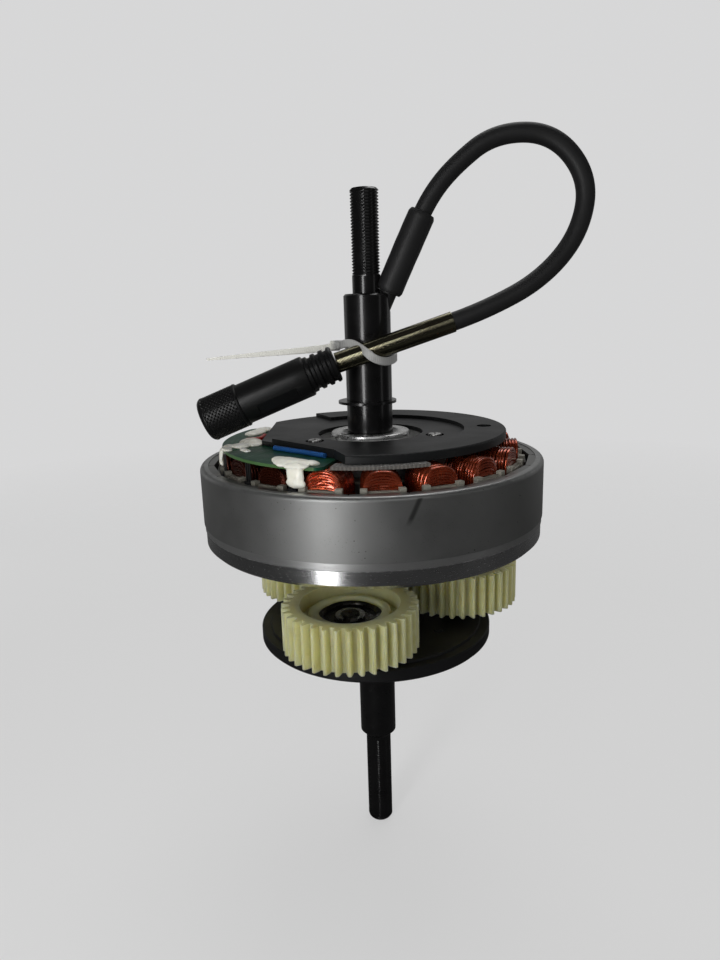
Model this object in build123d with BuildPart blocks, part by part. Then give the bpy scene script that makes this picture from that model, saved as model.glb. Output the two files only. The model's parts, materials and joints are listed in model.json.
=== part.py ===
from build123d import *
from math import acos, cos, pi, radians, sin, sqrt, tan
import os

# Axle, with the origin at the middle of its gear-side bearing seat and +Z towards the cable side
seat_radius = 8.5
seat_length = 52.0
thread_radius = 6.0
flat_across = 10.0
flat_direction = -124.0
gear_thread_length = 47.9
gear_cone_height = 2.5
cable_thread_length = 42.1
axle_neck_length = 7.0
sun_seat_radius = 9.0
axle_radius = 10.0
axle_collar_width = 2.0
axle_collar_height = 2.0
axle_bore_radius = 4.5
axle_bore_length = 55.0
wire_exit_radius = 4.0
wire_exit_direction = 200.0
ring_groove_depth = 0.7
cable_shoulder_height = 181.0
hub_ring_rise = 11.7
hub_ring_thickness = 1.1
hub_ring_width = 2.75
hub_ring_offset = 0.9
hub_ring_gap = 9.0
hub_ring_direction = 75.0

# Gear train
gear_module = 1.5
pressure_angle = 20.0
sun_teeth = 18
planet_teeth = 36
planet_count = 3
gear_backlash = 0.12
planet_direction = -104.9
planet_width = 18.7
gear_clearance = 0.6
sun_overhang = 0.5
sun_bore_clearance = 0.3
sun_shaft_wall = 2.6
planet_rim_wall = 4.2
planet_recess_depth = 3.5
planet_hub_wall = 6.5
planet_hub_drop = 0.8
planet_lip_width = 1.5
planet_funnel_width = 1.3
planet_hub_edge = 0.8
running_clearance = 0.03
fit_clearance = 0.02
face_clearance = 0.05

# Planet carrier and its one-way clutch
carrier_gap = 1.0
carrier_margin = 12.75
carrier_thickness = 6.9
carrier_rim_width = 4.6
carrier_rim_drop = 0.9
carrier_hub_wall = 4.9
carrier_hub_height = 3.4
carrier_edge_round = 1.2
roller_radius = 2.5
roller_count = 12
roller_length = 7.6
clutch_race_wall = 4.0
clutch_race_inset = 0.4
clutch_lip_height = 1.2
clutch_lip_gap = 0.4
pin_root_radius = 5.0
pin_shoulder_radius = 6.0
pin_seat_rise = 5.6
pin_radius = 4.0
pin_tail = 1.4
pin_groove_depth = 0.4
pin_clip_width = 2.2
pin_clip_thickness = 0.7
pin_clip_gap = 3.2
rivet_radius = 2.1
rivet_inset = 6.6
rivet_direction = -35.0
rivet_head_height = 0.7
key_width = 4.0
key_height = 1.6
key_length = 8.0

# Bearings
planet_bearing_radius = 11.0
planet_bearing_width = 7.0
rotor_bearing_radius = 18.5
rotor_bearing_width = 9.0
bearing_ring_wall = 2.6
shield_recess = 0.4

# Rotor
rotor_gap = 19.2
rotor_radius = 75.3
rotor_wall = 3.5
rotor_rise = 2.0
rotor_edge_round = 1.9
magnet_count = 20
magnet_thickness = 3.25
magnet_gap = 0.4
magnet_drop = 0.3
magnet_direction = 20.0
magnet_clearance = 0.05
cover_inset = 0.4
cover_band_inset = 0.7
cover_band_height = 3.2
cover_floor = 2.2
cover_drop = 1.5
cover_edge_round = 1.6
cover_boss_wall = 4.5
cover_spigot_wall = 2.4
cover_spigot_height = 1.8
cover_recess_depth = 0.8
cover_recess_margin = 11.5

# Stator
air_gap = 0.8
stator_teeth = 18
stator_direction = -86.5
core_height = 21.0
yoke_wall = 6.5
tooth_length = 17.7
tooth_width = 8.4
tip_angle = 14.4
tip_thickness = 2.5
insulator_thickness = 1.0
insulator_cover = 1.1
insulator_step = 0.5
post_width = 2.6
post_depth = 2.4
post_height = 2.8
coil_width = 15.4
coil_end_height = 8.7
coil_clearance = 0.3
coil_end_gap = 0.7
winding_gap = 0.9
hub_boss_wall = 7.3
hub_web_thickness = 5.0
hub_web_rise = 0.8
drum_wall = 5.0
flange_width = 10.5
flange_thickness = 5.0
web_hole_radius = 5.5
web_hole_count = 6

# Stator plate, circuit board and leads
plate_inset = 8.4
plate_thickness = 3.5
plate_gap = 0.2
plate_pocket_depth = 1.6
plate_opening_gap = 5.9
plate_edge_round = 0.8
plate_cut_inset = 12.8
plate_cut_corner = 14.2
plate_cut_toe = 9.2
plate_hole_radius = 3.25
plate_hole_inset = 9.0
plate_slot_inset = 6.0
plate_slot_width = 3.0
screw_direction = -22.0
screw_count = 3
screw_head_radius = 2.9
screw_head_height = 1.5
screw_radius = 1.9
screw_length = 5.5
screw_sink_radius = 4.0
screw_sink_depth = 0.9
screw_recess_length = 3.0
screw_recess_width = 0.7
snap_ring_width = 7.7
snap_ring_thickness = 1.4
snap_ring_gap = 2.2
snap_ring_direction = -140.0
snap_ring_hole_radius = 1.0
board_outer_inset = 2.5
board_inner_gap = 1.6
board_thickness = 1.2
board_start = 150.0
board_end = 254.0
board_corner_radius = 4.0
board_hole_radius = 1.5
sensor_count = 3
sensor_first_slot = 203.5
sensor_width = 4.1
sensor_depth = 1.6
sensor_height = 3.2
sensor_drop = 1.5
sensor_lead_pitch = 1.27
sensor_lead_width = 0.5
blue_lead_radius = 1.0
red_lead_radius = 1.0
sleeving_width = 6.9
sleeving_inset = 5.3
sleeving_thickness = 1.2
sleeving_start = -104.0
sleeving_end = -69.5
sealant_height = 2.4
sealant_film = 1.3
sealant_drip = 1.8

# Cable and connector
cable_radius = 3.8
slot_clearance = 0.4
shrink_sleeve_wall = 2.0
shrink_sleeve_start = 14.6
shrink_sleeve_length = 34.8
shrink_sleeve_clearance = 0.15
spring_wall = 0.4
spring_clearance = 0.1
spring_length = 50.6
connector_radius = 8.6
collar_radius = 9.4
collar_length = 17.4
body_length = 30.0
boot_length = 12.6
boot_radius = 7.6
boot_groove_depth = 0.9
boot_grooves = 3
panel_length = 18.0
panel_width = 8.0
panel_depth = 0.5
connector_mouth_radius = 6.9
connector_mouth_depth = 9.0
insert_recess = 2.5
contact_radius = 0.5
contact_ring_radius = 4.4
contact_count = 6
tie_thickness = 1.1
tie_width = 3.6
tie_height = 157.2
tie_tilt = 20.0
tie_clearance = 0.15
tie_corner_radius = 3.5
tie_half_span = 5.8
tie_head_length = 4.6
tie_head_width = 4.2
tie_tail_length = 54.4

# The cable's route: up the slot and its sleeve, round the loop and back along the spring
cable_route = [
    (3.0, 0.0, 168.0),
    (27.0, -2.6, 218.7),
    (36.5, -3.4, 229.6),
    (52.5, -5.4, 241.3),
    (75.5, -7.4, 240.4),
    (89.8, -9.5, 222.5),
    (86.2, -11.2, 201.3),
    (71.0, -12.8, 184.0),
    (48.0, -14.4, 172.6),
    (-13.1, -14.5, 153.2),
]
connector_direction = Vector(-52.6, -2.5, -20.9)

# Heights of the stack, from the gear-side seat upwards
seat_top = seat_length / 2
seat_bottom = -seat_length / 2
gear_thread_top = seat_bottom - gear_cone_height
axle_bottom = gear_thread_top - gear_thread_length
axle_top = cable_shoulder_height + cable_thread_length
carrier_bottom = seat_top + carrier_gap
carrier_top = carrier_bottom + carrier_thickness
carrier_hub_top = carrier_top + carrier_hub_height
clutch_bottom = carrier_bottom + clutch_race_inset
clutch_race_height = carrier_hub_top - clutch_race_inset - clutch_bottom
sun_bottom = carrier_hub_top + gear_clearance
planet_bottom = sun_bottom + sun_overhang
planet_top = planet_bottom + planet_width
sun_top = planet_top + sun_overhang
pin_seat_height = planet_bottom + pin_seat_rise
planet_bearing_top = pin_seat_height + planet_bearing_width
cover_bottom = planet_top + rotor_gap
cover_floor_top = cover_bottom + cover_floor
core_bottom = cover_floor_top + winding_gap + coil_end_height
core_top = core_bottom + core_height
core_middle = core_bottom + core_height / 2
cover_top = core_bottom - cover_drop
rotor_top = core_top + rotor_rise
rotor_height = rotor_top - cover_top
collar_bottom = cover_floor_top + 2 * rotor_bearing_width + 6 * face_clearance
collar_top = collar_bottom + axle_collar_height
hub_web_bottom = collar_top + hub_web_rise
coil_top = core_top + coil_end_height
board_bottom = coil_top + plate_gap
board_top = board_bottom + board_thickness
plate_bottom = board_top + plate_gap
plate_top = plate_bottom + plate_thickness
pocket_floor = plate_top - plate_pocket_depth
snap_ring_bottom = pocket_floor - snap_ring_thickness / 2
hub_ring_height = plate_top + hub_ring_rise
bore_bottom = cable_route[0][2] - axle_bore_length

# Radii that follow from their neighbours
sun_shaft_radius = sun_seat_radius + sun_bore_clearance + sun_shaft_wall
gear_distance = gear_module * (sun_teeth + planet_teeth) / 2
planet_root_radius = gear_module * (planet_teeth / 2 - 1.25)
planet_recess_radius = planet_root_radius - planet_rim_wall
planet_hub_radius = planet_bearing_radius + planet_hub_wall
planet_lip_radius = planet_bearing_radius - planet_lip_width
planet_funnel_radius = planet_bearing_radius + planet_funnel_width
clutch_race_radius = sun_seat_radius + clutch_race_wall
clutch_orbit = clutch_race_radius + face_clearance + roller_radius
clutch_outer_radius = clutch_orbit + roller_radius + face_clearance
carrier_radius = gear_distance + carrier_margin
carrier_hub_radius = clutch_outer_radius + carrier_hub_wall
rivet_orbit = gear_distance - rivet_inset
groove_radius = axle_radius - ring_groove_depth
rotor_inner_radius = rotor_radius - rotor_wall
cover_radius = rotor_radius - cover_inset
cover_band_radius = rotor_radius - cover_band_inset
cover_boss_radius = rotor_bearing_radius + cover_boss_wall
magnet_outer_radius = rotor_inner_radius - magnet_clearance
magnet_flat = magnet_outer_radius - magnet_thickness
magnet_width = 2 * magnet_flat * tan(pi / magnet_count) - magnet_gap
stator_radius = magnet_flat - air_gap
tip_inner_radius = stator_radius - tip_thickness
yoke_radius = tip_inner_radius - tooth_length
core_inner_radius = yoke_radius - yoke_wall
coil_inner_radius = yoke_radius + coil_end_gap
coil_outer_radius = tip_inner_radius - coil_end_gap - coil_clearance
drum_outer_radius = core_inner_radius - fit_clearance
drum_inner_radius = drum_outer_radius - drum_wall
flange_inner_radius = drum_inner_radius - flange_width
screw_orbit = flange_inner_radius + flange_width / 2 - 0.9
hub_boss_radius = axle_radius + hub_boss_wall
web_hole_orbit = (hub_boss_radius + drum_inner_radius) / 2
plate_radius = stator_radius - plate_inset
plate_pocket_radius = core_inner_radius + 2 * plate_gap
plate_opening_radius = hub_boss_radius + plate_opening_gap
plate_slot_orbit = plate_pocket_radius - plate_slot_inset
plate_cut_side = plate_radius - plate_cut_inset
snap_ring_radius = axle_radius + snap_ring_width
board_outer_radius = stator_radius - board_outer_inset
board_inner_radius = core_inner_radius + board_inner_gap
sleeving_outer_radius = stator_radius - sleeving_inset
spring_radius = cable_radius + spring_clearance + spring_wall


def involute(angle):
    return tan(angle) - angle


def polar(radius, degrees_round):
    return (radius * cos(radians(degrees_round)), radius * sin(radians(degrees_round)))


def flank_angle(teeth, radius):
    """Half the angle of a tooth, in degrees, at this radius."""
    pitch_radius = gear_module * teeth / 2
    base_radius = pitch_radius * cos(radians(pressure_angle))
    half_pitch = pi / (2 * teeth) - gear_backlash / (2 * pitch_radius)
    at_radius = involute(acos(min(1.0, base_radius / radius)))
    return (half_pitch + involute(radians(pressure_angle)) - at_radius) * 180 / pi


def gear_outline(teeth, tooth_direction):
    """Closed outline of an involute gear with one tooth centred on tooth_direction."""
    pitch_radius = gear_module * teeth / 2
    tip_radius = pitch_radius + gear_module
    root_radius = pitch_radius - 1.25 * gear_module
    base_radius = pitch_radius * cos(radians(pressure_angle))
    flank_start = max(root_radius + 0.01, base_radius)
    flank_middle = (flank_start + tip_radius) / 2
    step = 360 / teeth
    with BuildSketch() as outline:
        with BuildLine():
            for number in range(teeth):
                centre = tooth_direction + number * step
                low = flank_angle(teeth, flank_start)
                middle = flank_angle(teeth, flank_middle)
                high = flank_angle(teeth, tip_radius)
                Line(polar(root_radius, centre - low), polar(flank_start, centre - low))
                ThreePointArc(
                    polar(flank_start, centre - low),
                    polar(flank_middle, centre - middle),
                    polar(tip_radius, centre - high),
                )
                ThreePointArc(
                    polar(tip_radius, centre - high),
                    polar(tip_radius, centre),
                    polar(tip_radius, centre + high),
                )
                ThreePointArc(
                    polar(tip_radius, centre + high),
                    polar(flank_middle, centre + middle),
                    polar(flank_start, centre + low),
                )
                Line(polar(flank_start, centre + low), polar(root_radius, centre + low))
                ThreePointArc(
                    polar(root_radius, centre + low),
                    polar(root_radius, centre + step / 2),
                    polar(root_radius, centre + step - low),
                )
        make_face()
    return outline.sketch


def turned(*corners):
    """A turned solid about the axle, from its half section as radius and height pairs."""
    with BuildPart() as solid:
        with BuildSketch(Plane.XZ):
            with BuildLine():
                Polyline(*corners, close=True)
            make_face()
        revolve(axis=Axis.Z)
    return solid.part


def around(count, first_direction):
    return [first_direction + number * 360 / count for number in range(count)]


def planet_centres():
    return [polar(gear_distance, direction) for direction in around(planet_count, planet_direction)]


def ring_sector(inner, outer, start, end, bottom, height):
    """A flat sector of a ring, from one angle to another."""
    middle = (start + end) / 2
    with BuildPart() as solid:
        with BuildSketch(Plane.XY.offset(bottom)):
            with BuildLine():
                Line(polar(inner, start), polar(outer, start))
                ThreePointArc(polar(outer, start), polar(outer, middle), polar(outer, end))
                Line(polar(outer, end), polar(inner, end))
                ThreePointArc(polar(inner, end), polar(inner, middle), polar(inner, start))
            make_face()
        extrude(amount=height)
    return solid.part


def cable_start_way():
    return (Vector(*cable_route[1]) - Vector(*cable_route[0])).normalized()


def make_axle():
    slot_start = Vector(*cable_route[0])
    slot_way = cable_start_way()
    slot_length = (cable_shoulder_height + axle_neck_length - slot_start.Z) / slot_way.Z
    bearing_start = cover_floor_top - face_clearance
    ring_bottoms = (snap_ring_bottom, hub_ring_height)
    ring_tops = (snap_ring_bottom + snap_ring_thickness, hub_ring_height + hub_ring_thickness)
    edge = 0.8
    with BuildPart() as axle:
        with BuildSketch(Plane.XZ):
            with BuildLine():
                Polyline(
                    (0, axle_bottom),
                    (thread_radius, axle_bottom),
                    (thread_radius, gear_thread_top),
                    (seat_radius, seat_bottom),
                    (seat_radius, seat_top),
                    (sun_seat_radius, seat_top),
                    (sun_seat_radius, bearing_start),
                    (axle_radius, bearing_start),
                    (axle_radius, collar_bottom),
                    (axle_radius + axle_collar_width, collar_bottom),
                    (axle_radius + axle_collar_width, collar_top),
                    (axle_radius, collar_top),
                    (axle_radius, ring_bottoms[0]),
                    (groove_radius, ring_bottoms[0]),
                    (groove_radius, ring_tops[0]),
                    (axle_radius, ring_tops[0]),
                    (axle_radius, ring_bottoms[1]),
                    (groove_radius, ring_bottoms[1]),
                    (groove_radius, ring_tops[1]),
                    (axle_radius, ring_tops[1]),
                    (axle_radius, cable_shoulder_height - edge),
                    (axle_radius - edge, cable_shoulder_height),
                    (thread_radius, cable_shoulder_height),
                    (thread_radius, axle_top - edge),
                    (thread_radius - edge, axle_top),
                    (0, axle_top),
                    close=True,
                )
            make_face()
        revolve(axis=Axis.Z)
        bottom_edge = axle.edges().filter_by(GeomType.CIRCLE).sort_by(Axis.Z)[0]
        fillet(bottom_edge, radius=thread_radius / 2)
        # Flats on both threaded ends, for the tab washers
        for bottom, top in (
            (axle_bottom - 1, gear_thread_top),
            (cable_shoulder_height + axle_neck_length, axle_top + 1),
        ):
            with BuildSketch(Plane(origin=(0, 0, bottom)).rotated((0, 0, flat_direction))):
                for side in (-1, 1):
                    with Locations((side * (flat_across / 2 + thread_radius), 0)):
                        Rectangle(2 * thread_radius, 4 * thread_radius)
            extrude(amount=top - bottom, mode=Mode.SUBTRACT)
        # Slanted slot for the cable, the bore below it and the hole that lets the wires out
        with BuildSketch(Plane(origin=slot_start, z_dir=slot_way)):
            Circle(cable_radius + slot_clearance)
        extrude(amount=slot_length, mode=Mode.SUBTRACT)
        # The slot is wider where the cable's sleeve reaches into the shoulder
        sleeve_end = slot_start + slot_way * (shrink_sleeve_start - shrink_sleeve_clearance)
        with BuildSketch(Plane(origin=sleeve_end, z_dir=slot_way)):
            Circle(cable_radius + fit_clearance + shrink_sleeve_wall + shrink_sleeve_clearance)
        extrude(amount=slot_length, mode=Mode.SUBTRACT)
        with BuildSketch(Plane.XY.offset(bore_bottom)):
            Circle(axle_bore_radius)
        extrude(amount=axle_bore_length + cable_radius, mode=Mode.SUBTRACT)
        exit_way = (cos(radians(wire_exit_direction)), sin(radians(wire_exit_direction)), 0)
        with BuildSketch(Plane(origin=(0, 0, bore_bottom + wire_exit_radius), z_dir=exit_way)):
            Circle(wire_exit_radius)
        extrude(amount=2 * axle_radius, mode=Mode.SUBTRACT)
        # Keyway under the clutch's inner race
        with BuildSketch(clutch_key_plane()):
            SlotOverall(key_length + 2 * fit_clearance, key_width + 2 * fit_clearance)
        extrude(amount=2 * key_height, mode=Mode.SUBTRACT)
    return axle.part


def clutch_key_plane():
    """Lies on the floor of the keyway, with its local X along the axle."""
    middle = clutch_bottom + clutch_race_height / 2
    return Plane(origin=(sun_seat_radius - key_height, 0, middle), x_dir=(0, 0, 1), z_dir=(1, 0, 0))


def open_ring(inner, outer, bottom, thickness, gap_width, gap_direction):
    """A snap ring, open on one side."""
    with BuildPart() as ring:
        with BuildSketch(Plane.XY.offset(bottom)):
            Circle(outer)
            Circle(inner, mode=Mode.SUBTRACT)
            with Locations(polar(outer, gap_direction)):
                Rectangle(2 * outer, gap_width, rotation=gap_direction, mode=Mode.SUBTRACT)
        extrude(amount=thickness)
    return ring.part


def make_stator_snap_ring():
    inner = groove_radius + fit_clearance
    hole_orbit = (inner + snap_ring_radius) / 2
    hole_turn = 13.0
    blank = open_ring(
        inner, snap_ring_radius, snap_ring_bottom, snap_ring_thickness, snap_ring_gap, snap_ring_direction
    )
    with BuildPart() as ring:
        add(blank)
        top_edges = ring.edges().group_by(Axis.Z)[-1].filter_by(GeomType.CIRCLE)
        chamfer(top_edges.sort_by(SortBy.RADIUS)[-1], length=snap_ring_thickness / 2)
        # The two ends carry the holes for the pliers
        with BuildSketch(Plane.XY.offset(snap_ring_bottom)):
            for side in (-1, 1):
                with Locations(polar(hole_orbit, snap_ring_direction + side * hole_turn)):
                    Circle(snap_ring_hole_radius)
        extrude(amount=snap_ring_thickness, mode=Mode.SUBTRACT)
    return ring.part


def make_hub_ring():
    """External snap ring on the axle, broader on one side."""
    outer = axle_radius + hub_ring_width
    with BuildPart() as ring:
        with BuildSketch(Plane.XY.offset(hub_ring_height)):
            with Locations((-hub_ring_offset, 0)):
                Circle(outer)
            Circle(groove_radius + fit_clearance, mode=Mode.SUBTRACT)
            with Locations(polar(outer, hub_ring_direction)):
                Rectangle(2 * outer, hub_ring_gap, rotation=hub_ring_direction, mode=Mode.SUBTRACT)
        extrude(amount=hub_ring_thickness)
    return ring.part


def screw_places():
    return [polar(screw_orbit, direction) for direction in around(screw_count, screw_direction)]


def make_stator_hub():
    """Cast drum between the axle and the stator core."""
    bore = axle_radius + fit_clearance
    web_top = hub_web_bottom + hub_web_thickness
    flange_bottom = plate_bottom - flange_thickness
    with BuildPart() as hub:
        add(
            turned(
                (bore, collar_top),
                (hub_boss_radius - hub_web_rise, collar_top),
                (hub_boss_radius, hub_web_bottom),
                (drum_inner_radius, hub_web_bottom),
                (drum_inner_radius, core_bottom),
                (drum_outer_radius, core_bottom),
                (drum_outer_radius, plate_bottom),
                (flange_inner_radius, plate_bottom),
                (flange_inner_radius, flange_bottom),
                (drum_inner_radius, flange_bottom),
                (drum_inner_radius, web_top),
                (hub_boss_radius, web_top),
                (hub_boss_radius, snap_ring_bottom),
                (bore, snap_ring_bottom),
            )
        )
        with BuildSketch(Plane.XY.offset(hub_web_bottom)):
            with PolarLocations(web_hole_orbit, web_hole_count, wire_exit_direction):
                Circle(web_hole_radius)
        extrude(amount=hub_web_thickness, mode=Mode.SUBTRACT)
        with BuildSketch(Plane.XY.offset(plate_bottom)):
            with Locations(*screw_places()):
                Circle(screw_radius + fit_clearance)
        extrude(amount=-flange_thickness, mode=Mode.SUBTRACT)
        # Notch that lets the wires out of the axle to the board
        with BuildSketch(Plane.XY.offset(max(bore_bottom, web_top))):
            with Locations(polar(hub_boss_radius, wire_exit_direction)):
                Rectangle(2 * hub_boss_wall, 2 * wire_exit_radius, rotation=wire_exit_direction)
        extrude(amount=snap_ring_bottom, mode=Mode.SUBTRACT)
    return hub.part


def make_stator_plate():
    """Machined plate over the windings, cut away on the left where the board shows."""
    outside = 2 * plate_radius
    with BuildPart() as plate:
        with BuildSketch(Plane.XY.offset(plate_bottom)):
            Circle(plate_radius)
            with BuildLine():
                Polyline(
                    (-plate_cut_side, outside),
                    (-plate_cut_side, -plate_cut_corner),
                    (-plate_cut_corner, -plate_cut_side),
                    (-plate_cut_toe, -plate_radius),
                    (-plate_cut_toe, -outside),
                    (-outside, -outside),
                    (-outside, outside),
                    close=True,
                )
            make_face(mode=Mode.SUBTRACT)
        extrude(amount=plate_thickness)
        rim_edges = plate.edges().group_by(Axis.Z)[-1]
        fillet(rim_edges.filter_by(GeomType.CIRCLE), radius=plate_edge_round)
        # The pocket is round, and runs out to the left edge
        with BuildSketch(Plane.XY.offset(plate_top)):
            Circle(plate_pocket_radius)
            with BuildLine():
                Polyline((0, 0), polar(outside, 118), polar(outside, 160), polar(outside, 205), close=True)
            make_face()
        extrude(amount=-plate_pocket_depth, mode=Mode.SUBTRACT)
        with BuildSketch(Plane.XY.offset(plate_top)):
            Circle(plate_opening_radius)
            with Locations(polar(plate_radius - plate_hole_inset, -1.4)):
                Circle(plate_hole_radius)
            with Locations(polar(plate_radius - plate_hole_inset, 92)):
                Circle(plate_hole_radius)
            with Locations(polar(plate_pocket_radius - plate_slot_width, -63)):
                Circle(screw_radius)
            with Locations(*screw_places()):
                Circle(screw_radius + fit_clearance)
        extrude(amount=-plate_thickness, mode=Mode.SUBTRACT)
        with BuildSketch(Plane.XY.offset(pocket_floor)):
            with Locations(*screw_places()):
                Circle(screw_sink_radius)
        extrude(amount=-screw_sink_depth, mode=Mode.SUBTRACT)
        with BuildSketch(Plane.XY.offset(pocket_floor)):
            with BuildLine(mode=Mode.PRIVATE) as slot_line:
                CenterArc((0, 0), plate_slot_orbit, -88, 22)
            SlotArc(slot_line.edge(), plate_slot_width)
        extrude(amount=-plate_thickness, mode=Mode.SUBTRACT)
    return plate.part


def make_plate_screws():
    """Three identical cross-recess screws, as separate solids."""
    seat = pocket_floor - screw_sink_depth
    with BuildPart() as screws:
        with BuildSketch(Plane.XY.offset(seat)):
            with Locations(*screw_places()):
                Circle(screw_head_radius)
        extrude(amount=screw_head_height)
        fillet(screws.edges().group_by(Axis.Z)[-1], radius=screw_head_height * 0.4)
        with BuildSketch(Plane.XY.offset(seat)):
            with Locations(*screw_places()):
                Circle(screw_radius)
        extrude(amount=-screw_length)
        with BuildSketch(Plane.XY.offset(seat + screw_head_height)):
            with Locations(*screw_places()):
                Rectangle(screw_recess_length, screw_recess_width)
                Rectangle(screw_recess_width, screw_recess_length)
        extrude(amount=-screw_head_height / 2, mode=Mode.SUBTRACT)
    return screws.part


def tooth_directions():
    return around(stator_teeth, stator_direction)


def tooth_tip(direction):
    """The outline of one tooth's widened tip, which narrows towards its neck."""
    start = direction - tip_angle / 2
    end = direction + tip_angle / 2
    flare = tip_inner_radius + tip_thickness / 3
    neck = tip_inner_radius - tip_thickness / 3
    with BuildSketch() as tip:
        with BuildLine():
            Line(polar(flare, start), polar(stator_radius, start))
            ThreePointArc(
                polar(stator_radius, start), polar(stator_radius, direction), polar(stator_radius, end)
            )
            Line(polar(stator_radius, end), polar(flare, end))
            Line(polar(flare, end), polar(neck, direction + tip_angle / 4))
            Line(polar(neck, direction + tip_angle / 4), polar(neck, direction - tip_angle / 4))
            Line(polar(neck, direction - tip_angle / 4), polar(flare, start))
        make_face()
    return tip.sketch


def make_stator_core():
    """Laminated core with one tooth for each coil."""
    with BuildPart() as core:
        with BuildSketch(Plane.XY.offset(core_bottom)):
            Circle(yoke_radius)
            for direction in tooth_directions():
                with Locations(polar((yoke_radius + tip_inner_radius) / 2, direction)):
                    Rectangle(tooth_length + tip_thickness, tooth_width, rotation=direction)
                add(tooth_tip(direction))
            Circle(core_inner_radius, mode=Mode.SUBTRACT)
        extrude(amount=core_height)
    return core.part


def make_insulator(upper):
    """End frame of the windings, with a corner post at each side of every tooth tip."""
    way = 1 if upper else -1
    face = core_top if upper else core_bottom
    cap_outer = stator_radius - insulator_step
    cap_width = tooth_width + 2 * insulator_cover
    post_turn = tip_angle / 2 - post_width / 2 / radians(cap_outer)
    rail_length = 2 * cap_outer * sin(radians(post_turn))
    with BuildPart() as frame:
        with BuildSketch(Plane.XY.offset(face)):
            Circle(yoke_radius)
            for direction in tooth_directions():
                with Locations(polar((yoke_radius + tip_inner_radius) / 2, direction)):
                    Rectangle(tip_inner_radius - yoke_radius + post_depth, cap_width, rotation=direction)
            Circle(core_inner_radius + insulator_step, mode=Mode.SUBTRACT)
        extrude(amount=way * insulator_thickness)
        with BuildSketch(Plane.XY.offset(face)):
            for direction in tooth_directions():
                for side in (-1, 1):
                    turn = direction + side * post_turn
                    with Locations(polar(cap_outer - post_depth / 2, turn)):
                        Rectangle(post_depth, post_width, rotation=turn)
        extrude(amount=way * post_height)
        # A low rail joins the posts of each tooth
        with BuildSketch(Plane.XY.offset(face)):
            for direction in tooth_directions():
                with Locations(polar(cap_outer - post_depth, direction)):
                    Rectangle(insulator_thickness, rail_length, rotation=direction)
        extrude(amount=way * 1.6 * insulator_thickness)
    return frame.part


def make_windings():
    """The coils, one round each tooth, with domed end turns."""
    hole_width = tooth_width + 2 * insulator_cover + 2 * coil_clearance
    hole_height = core_height + 2 * insulator_thickness + 2 * coil_clearance
    with BuildPart() as windings:
        for direction in tooth_directions():
            way = (cos(radians(direction)), sin(radians(direction)), 0)
            along = (-sin(radians(direction)), cos(radians(direction)), 0)
            start = polar(coil_inner_radius, direction)
            with BuildSketch(Plane(origin=(*start, core_middle), x_dir=along, z_dir=way)):
                Rectangle(coil_width, core_height)
                with Locations((0, core_height / 2), (0, -core_height / 2)):
                    Ellipse(coil_width / 2, coil_end_height)
                Rectangle(hole_width, hole_height, mode=Mode.SUBTRACT)
            extrude(amount=coil_outer_radius - coil_inner_radius)
    return windings.part


def make_circuit_board():
    hole_orbit = board_outer_radius - board_corner_radius
    hole_turn = 7.0
    with BuildPart() as board:
        add(
            ring_sector(
                board_inner_radius, board_outer_radius, board_start, board_end, board_bottom, board_thickness
            )
        )
        fillet(board.edges().filter_by(Axis.Z), radius=board_corner_radius)
        with BuildSketch(Plane.XY.offset(board_bottom)):
            with Locations(
                polar(hole_orbit, board_start + hole_turn),
                polar(hole_orbit, (board_start + board_end) / 2),
                polar(hole_orbit, board_end - hole_turn),
            ):
                Circle(board_hole_radius)
        extrude(amount=board_thickness, mode=Mode.SUBTRACT)
    return board.part


def sensor_places():
    """Planes at the sensors' undersides, with their local X pointing outwards."""
    radius = coil_outer_radius + sensor_depth
    planes = []
    for number in range(sensor_count):
        direction = sensor_first_slot + number * 360 / stator_teeth
        origin = (*polar(radius, direction), core_top - sensor_drop)
        planes.append(Plane(origin=origin).rotated((0, 0, direction)))
    return planes


def make_hall_sensors():
    """Sensors at the slot mouths, with their leads up to the board."""
    lead_length = board_bottom - core_top + sensor_drop - sensor_height
    with BuildPart() as sensors:
        for place in sensor_places():
            with BuildSketch(place):
                Rectangle(sensor_depth, sensor_width)
            extrude(amount=sensor_height)
            with BuildSketch(place.offset(sensor_height)):
                with Locations((0, -sensor_lead_pitch), (0, 0), (0, sensor_lead_pitch)):
                    Rectangle(sensor_lead_width, sensor_lead_width)
            extrude(amount=lead_length)
    return sensors.part


def make_lead(points, bend_radii, radius):
    """A wire that lies on the board, from its route."""
    with BuildPart() as lead:
        with BuildLine() as path:
            FilletPolyline(*points, radius=bend_radii)
        with BuildSketch(Plane(origin=path.line @ 0, z_dir=path.line % 0)):
            Circle(radius)
        sweep()
    return lead.part


def beside_cut(along, gap):
    """A place outside the plate's slanted cut: how far along it, from its middle, and how far from it."""
    out = (plate_cut_side + plate_cut_corner) / sqrt(2) + gap
    return ((along - out) / sqrt(2), (-along - out) / sqrt(2))


def make_blue_lead():
    """Lies on the board, beside the plate's slanted cut."""
    height = board_top + blue_lead_radius
    places = (beside_cut(-9.9, 3.2), beside_cut(2.8, 2.2), beside_cut(19.1, blue_lead_radius + 0.3))
    return make_lead([(*place, height) for place in places], [60.0], blue_lead_radius)


def make_red_lead():
    """Lies on the board, outside the plate's straight side."""
    height = board_top + red_lead_radius
    places = ((1.4, 4.5), (2.1, -3.5), (8.0, -6.0))
    points = [(-plate_cut_side - gap, along, height) for gap, along in places]
    return make_lead(points, [3.0], red_lead_radius)


def make_wire_sleeving():
    """Flat woven sleeving round the phase wires, laid over the end turns."""
    return ring_sector(
        sleeving_outer_radius - sleeving_width,
        sleeving_outer_radius,
        sleeving_start,
        sleeving_end,
        coil_top + 2 * face_clearance,
        sleeving_thickness,
    )


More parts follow.
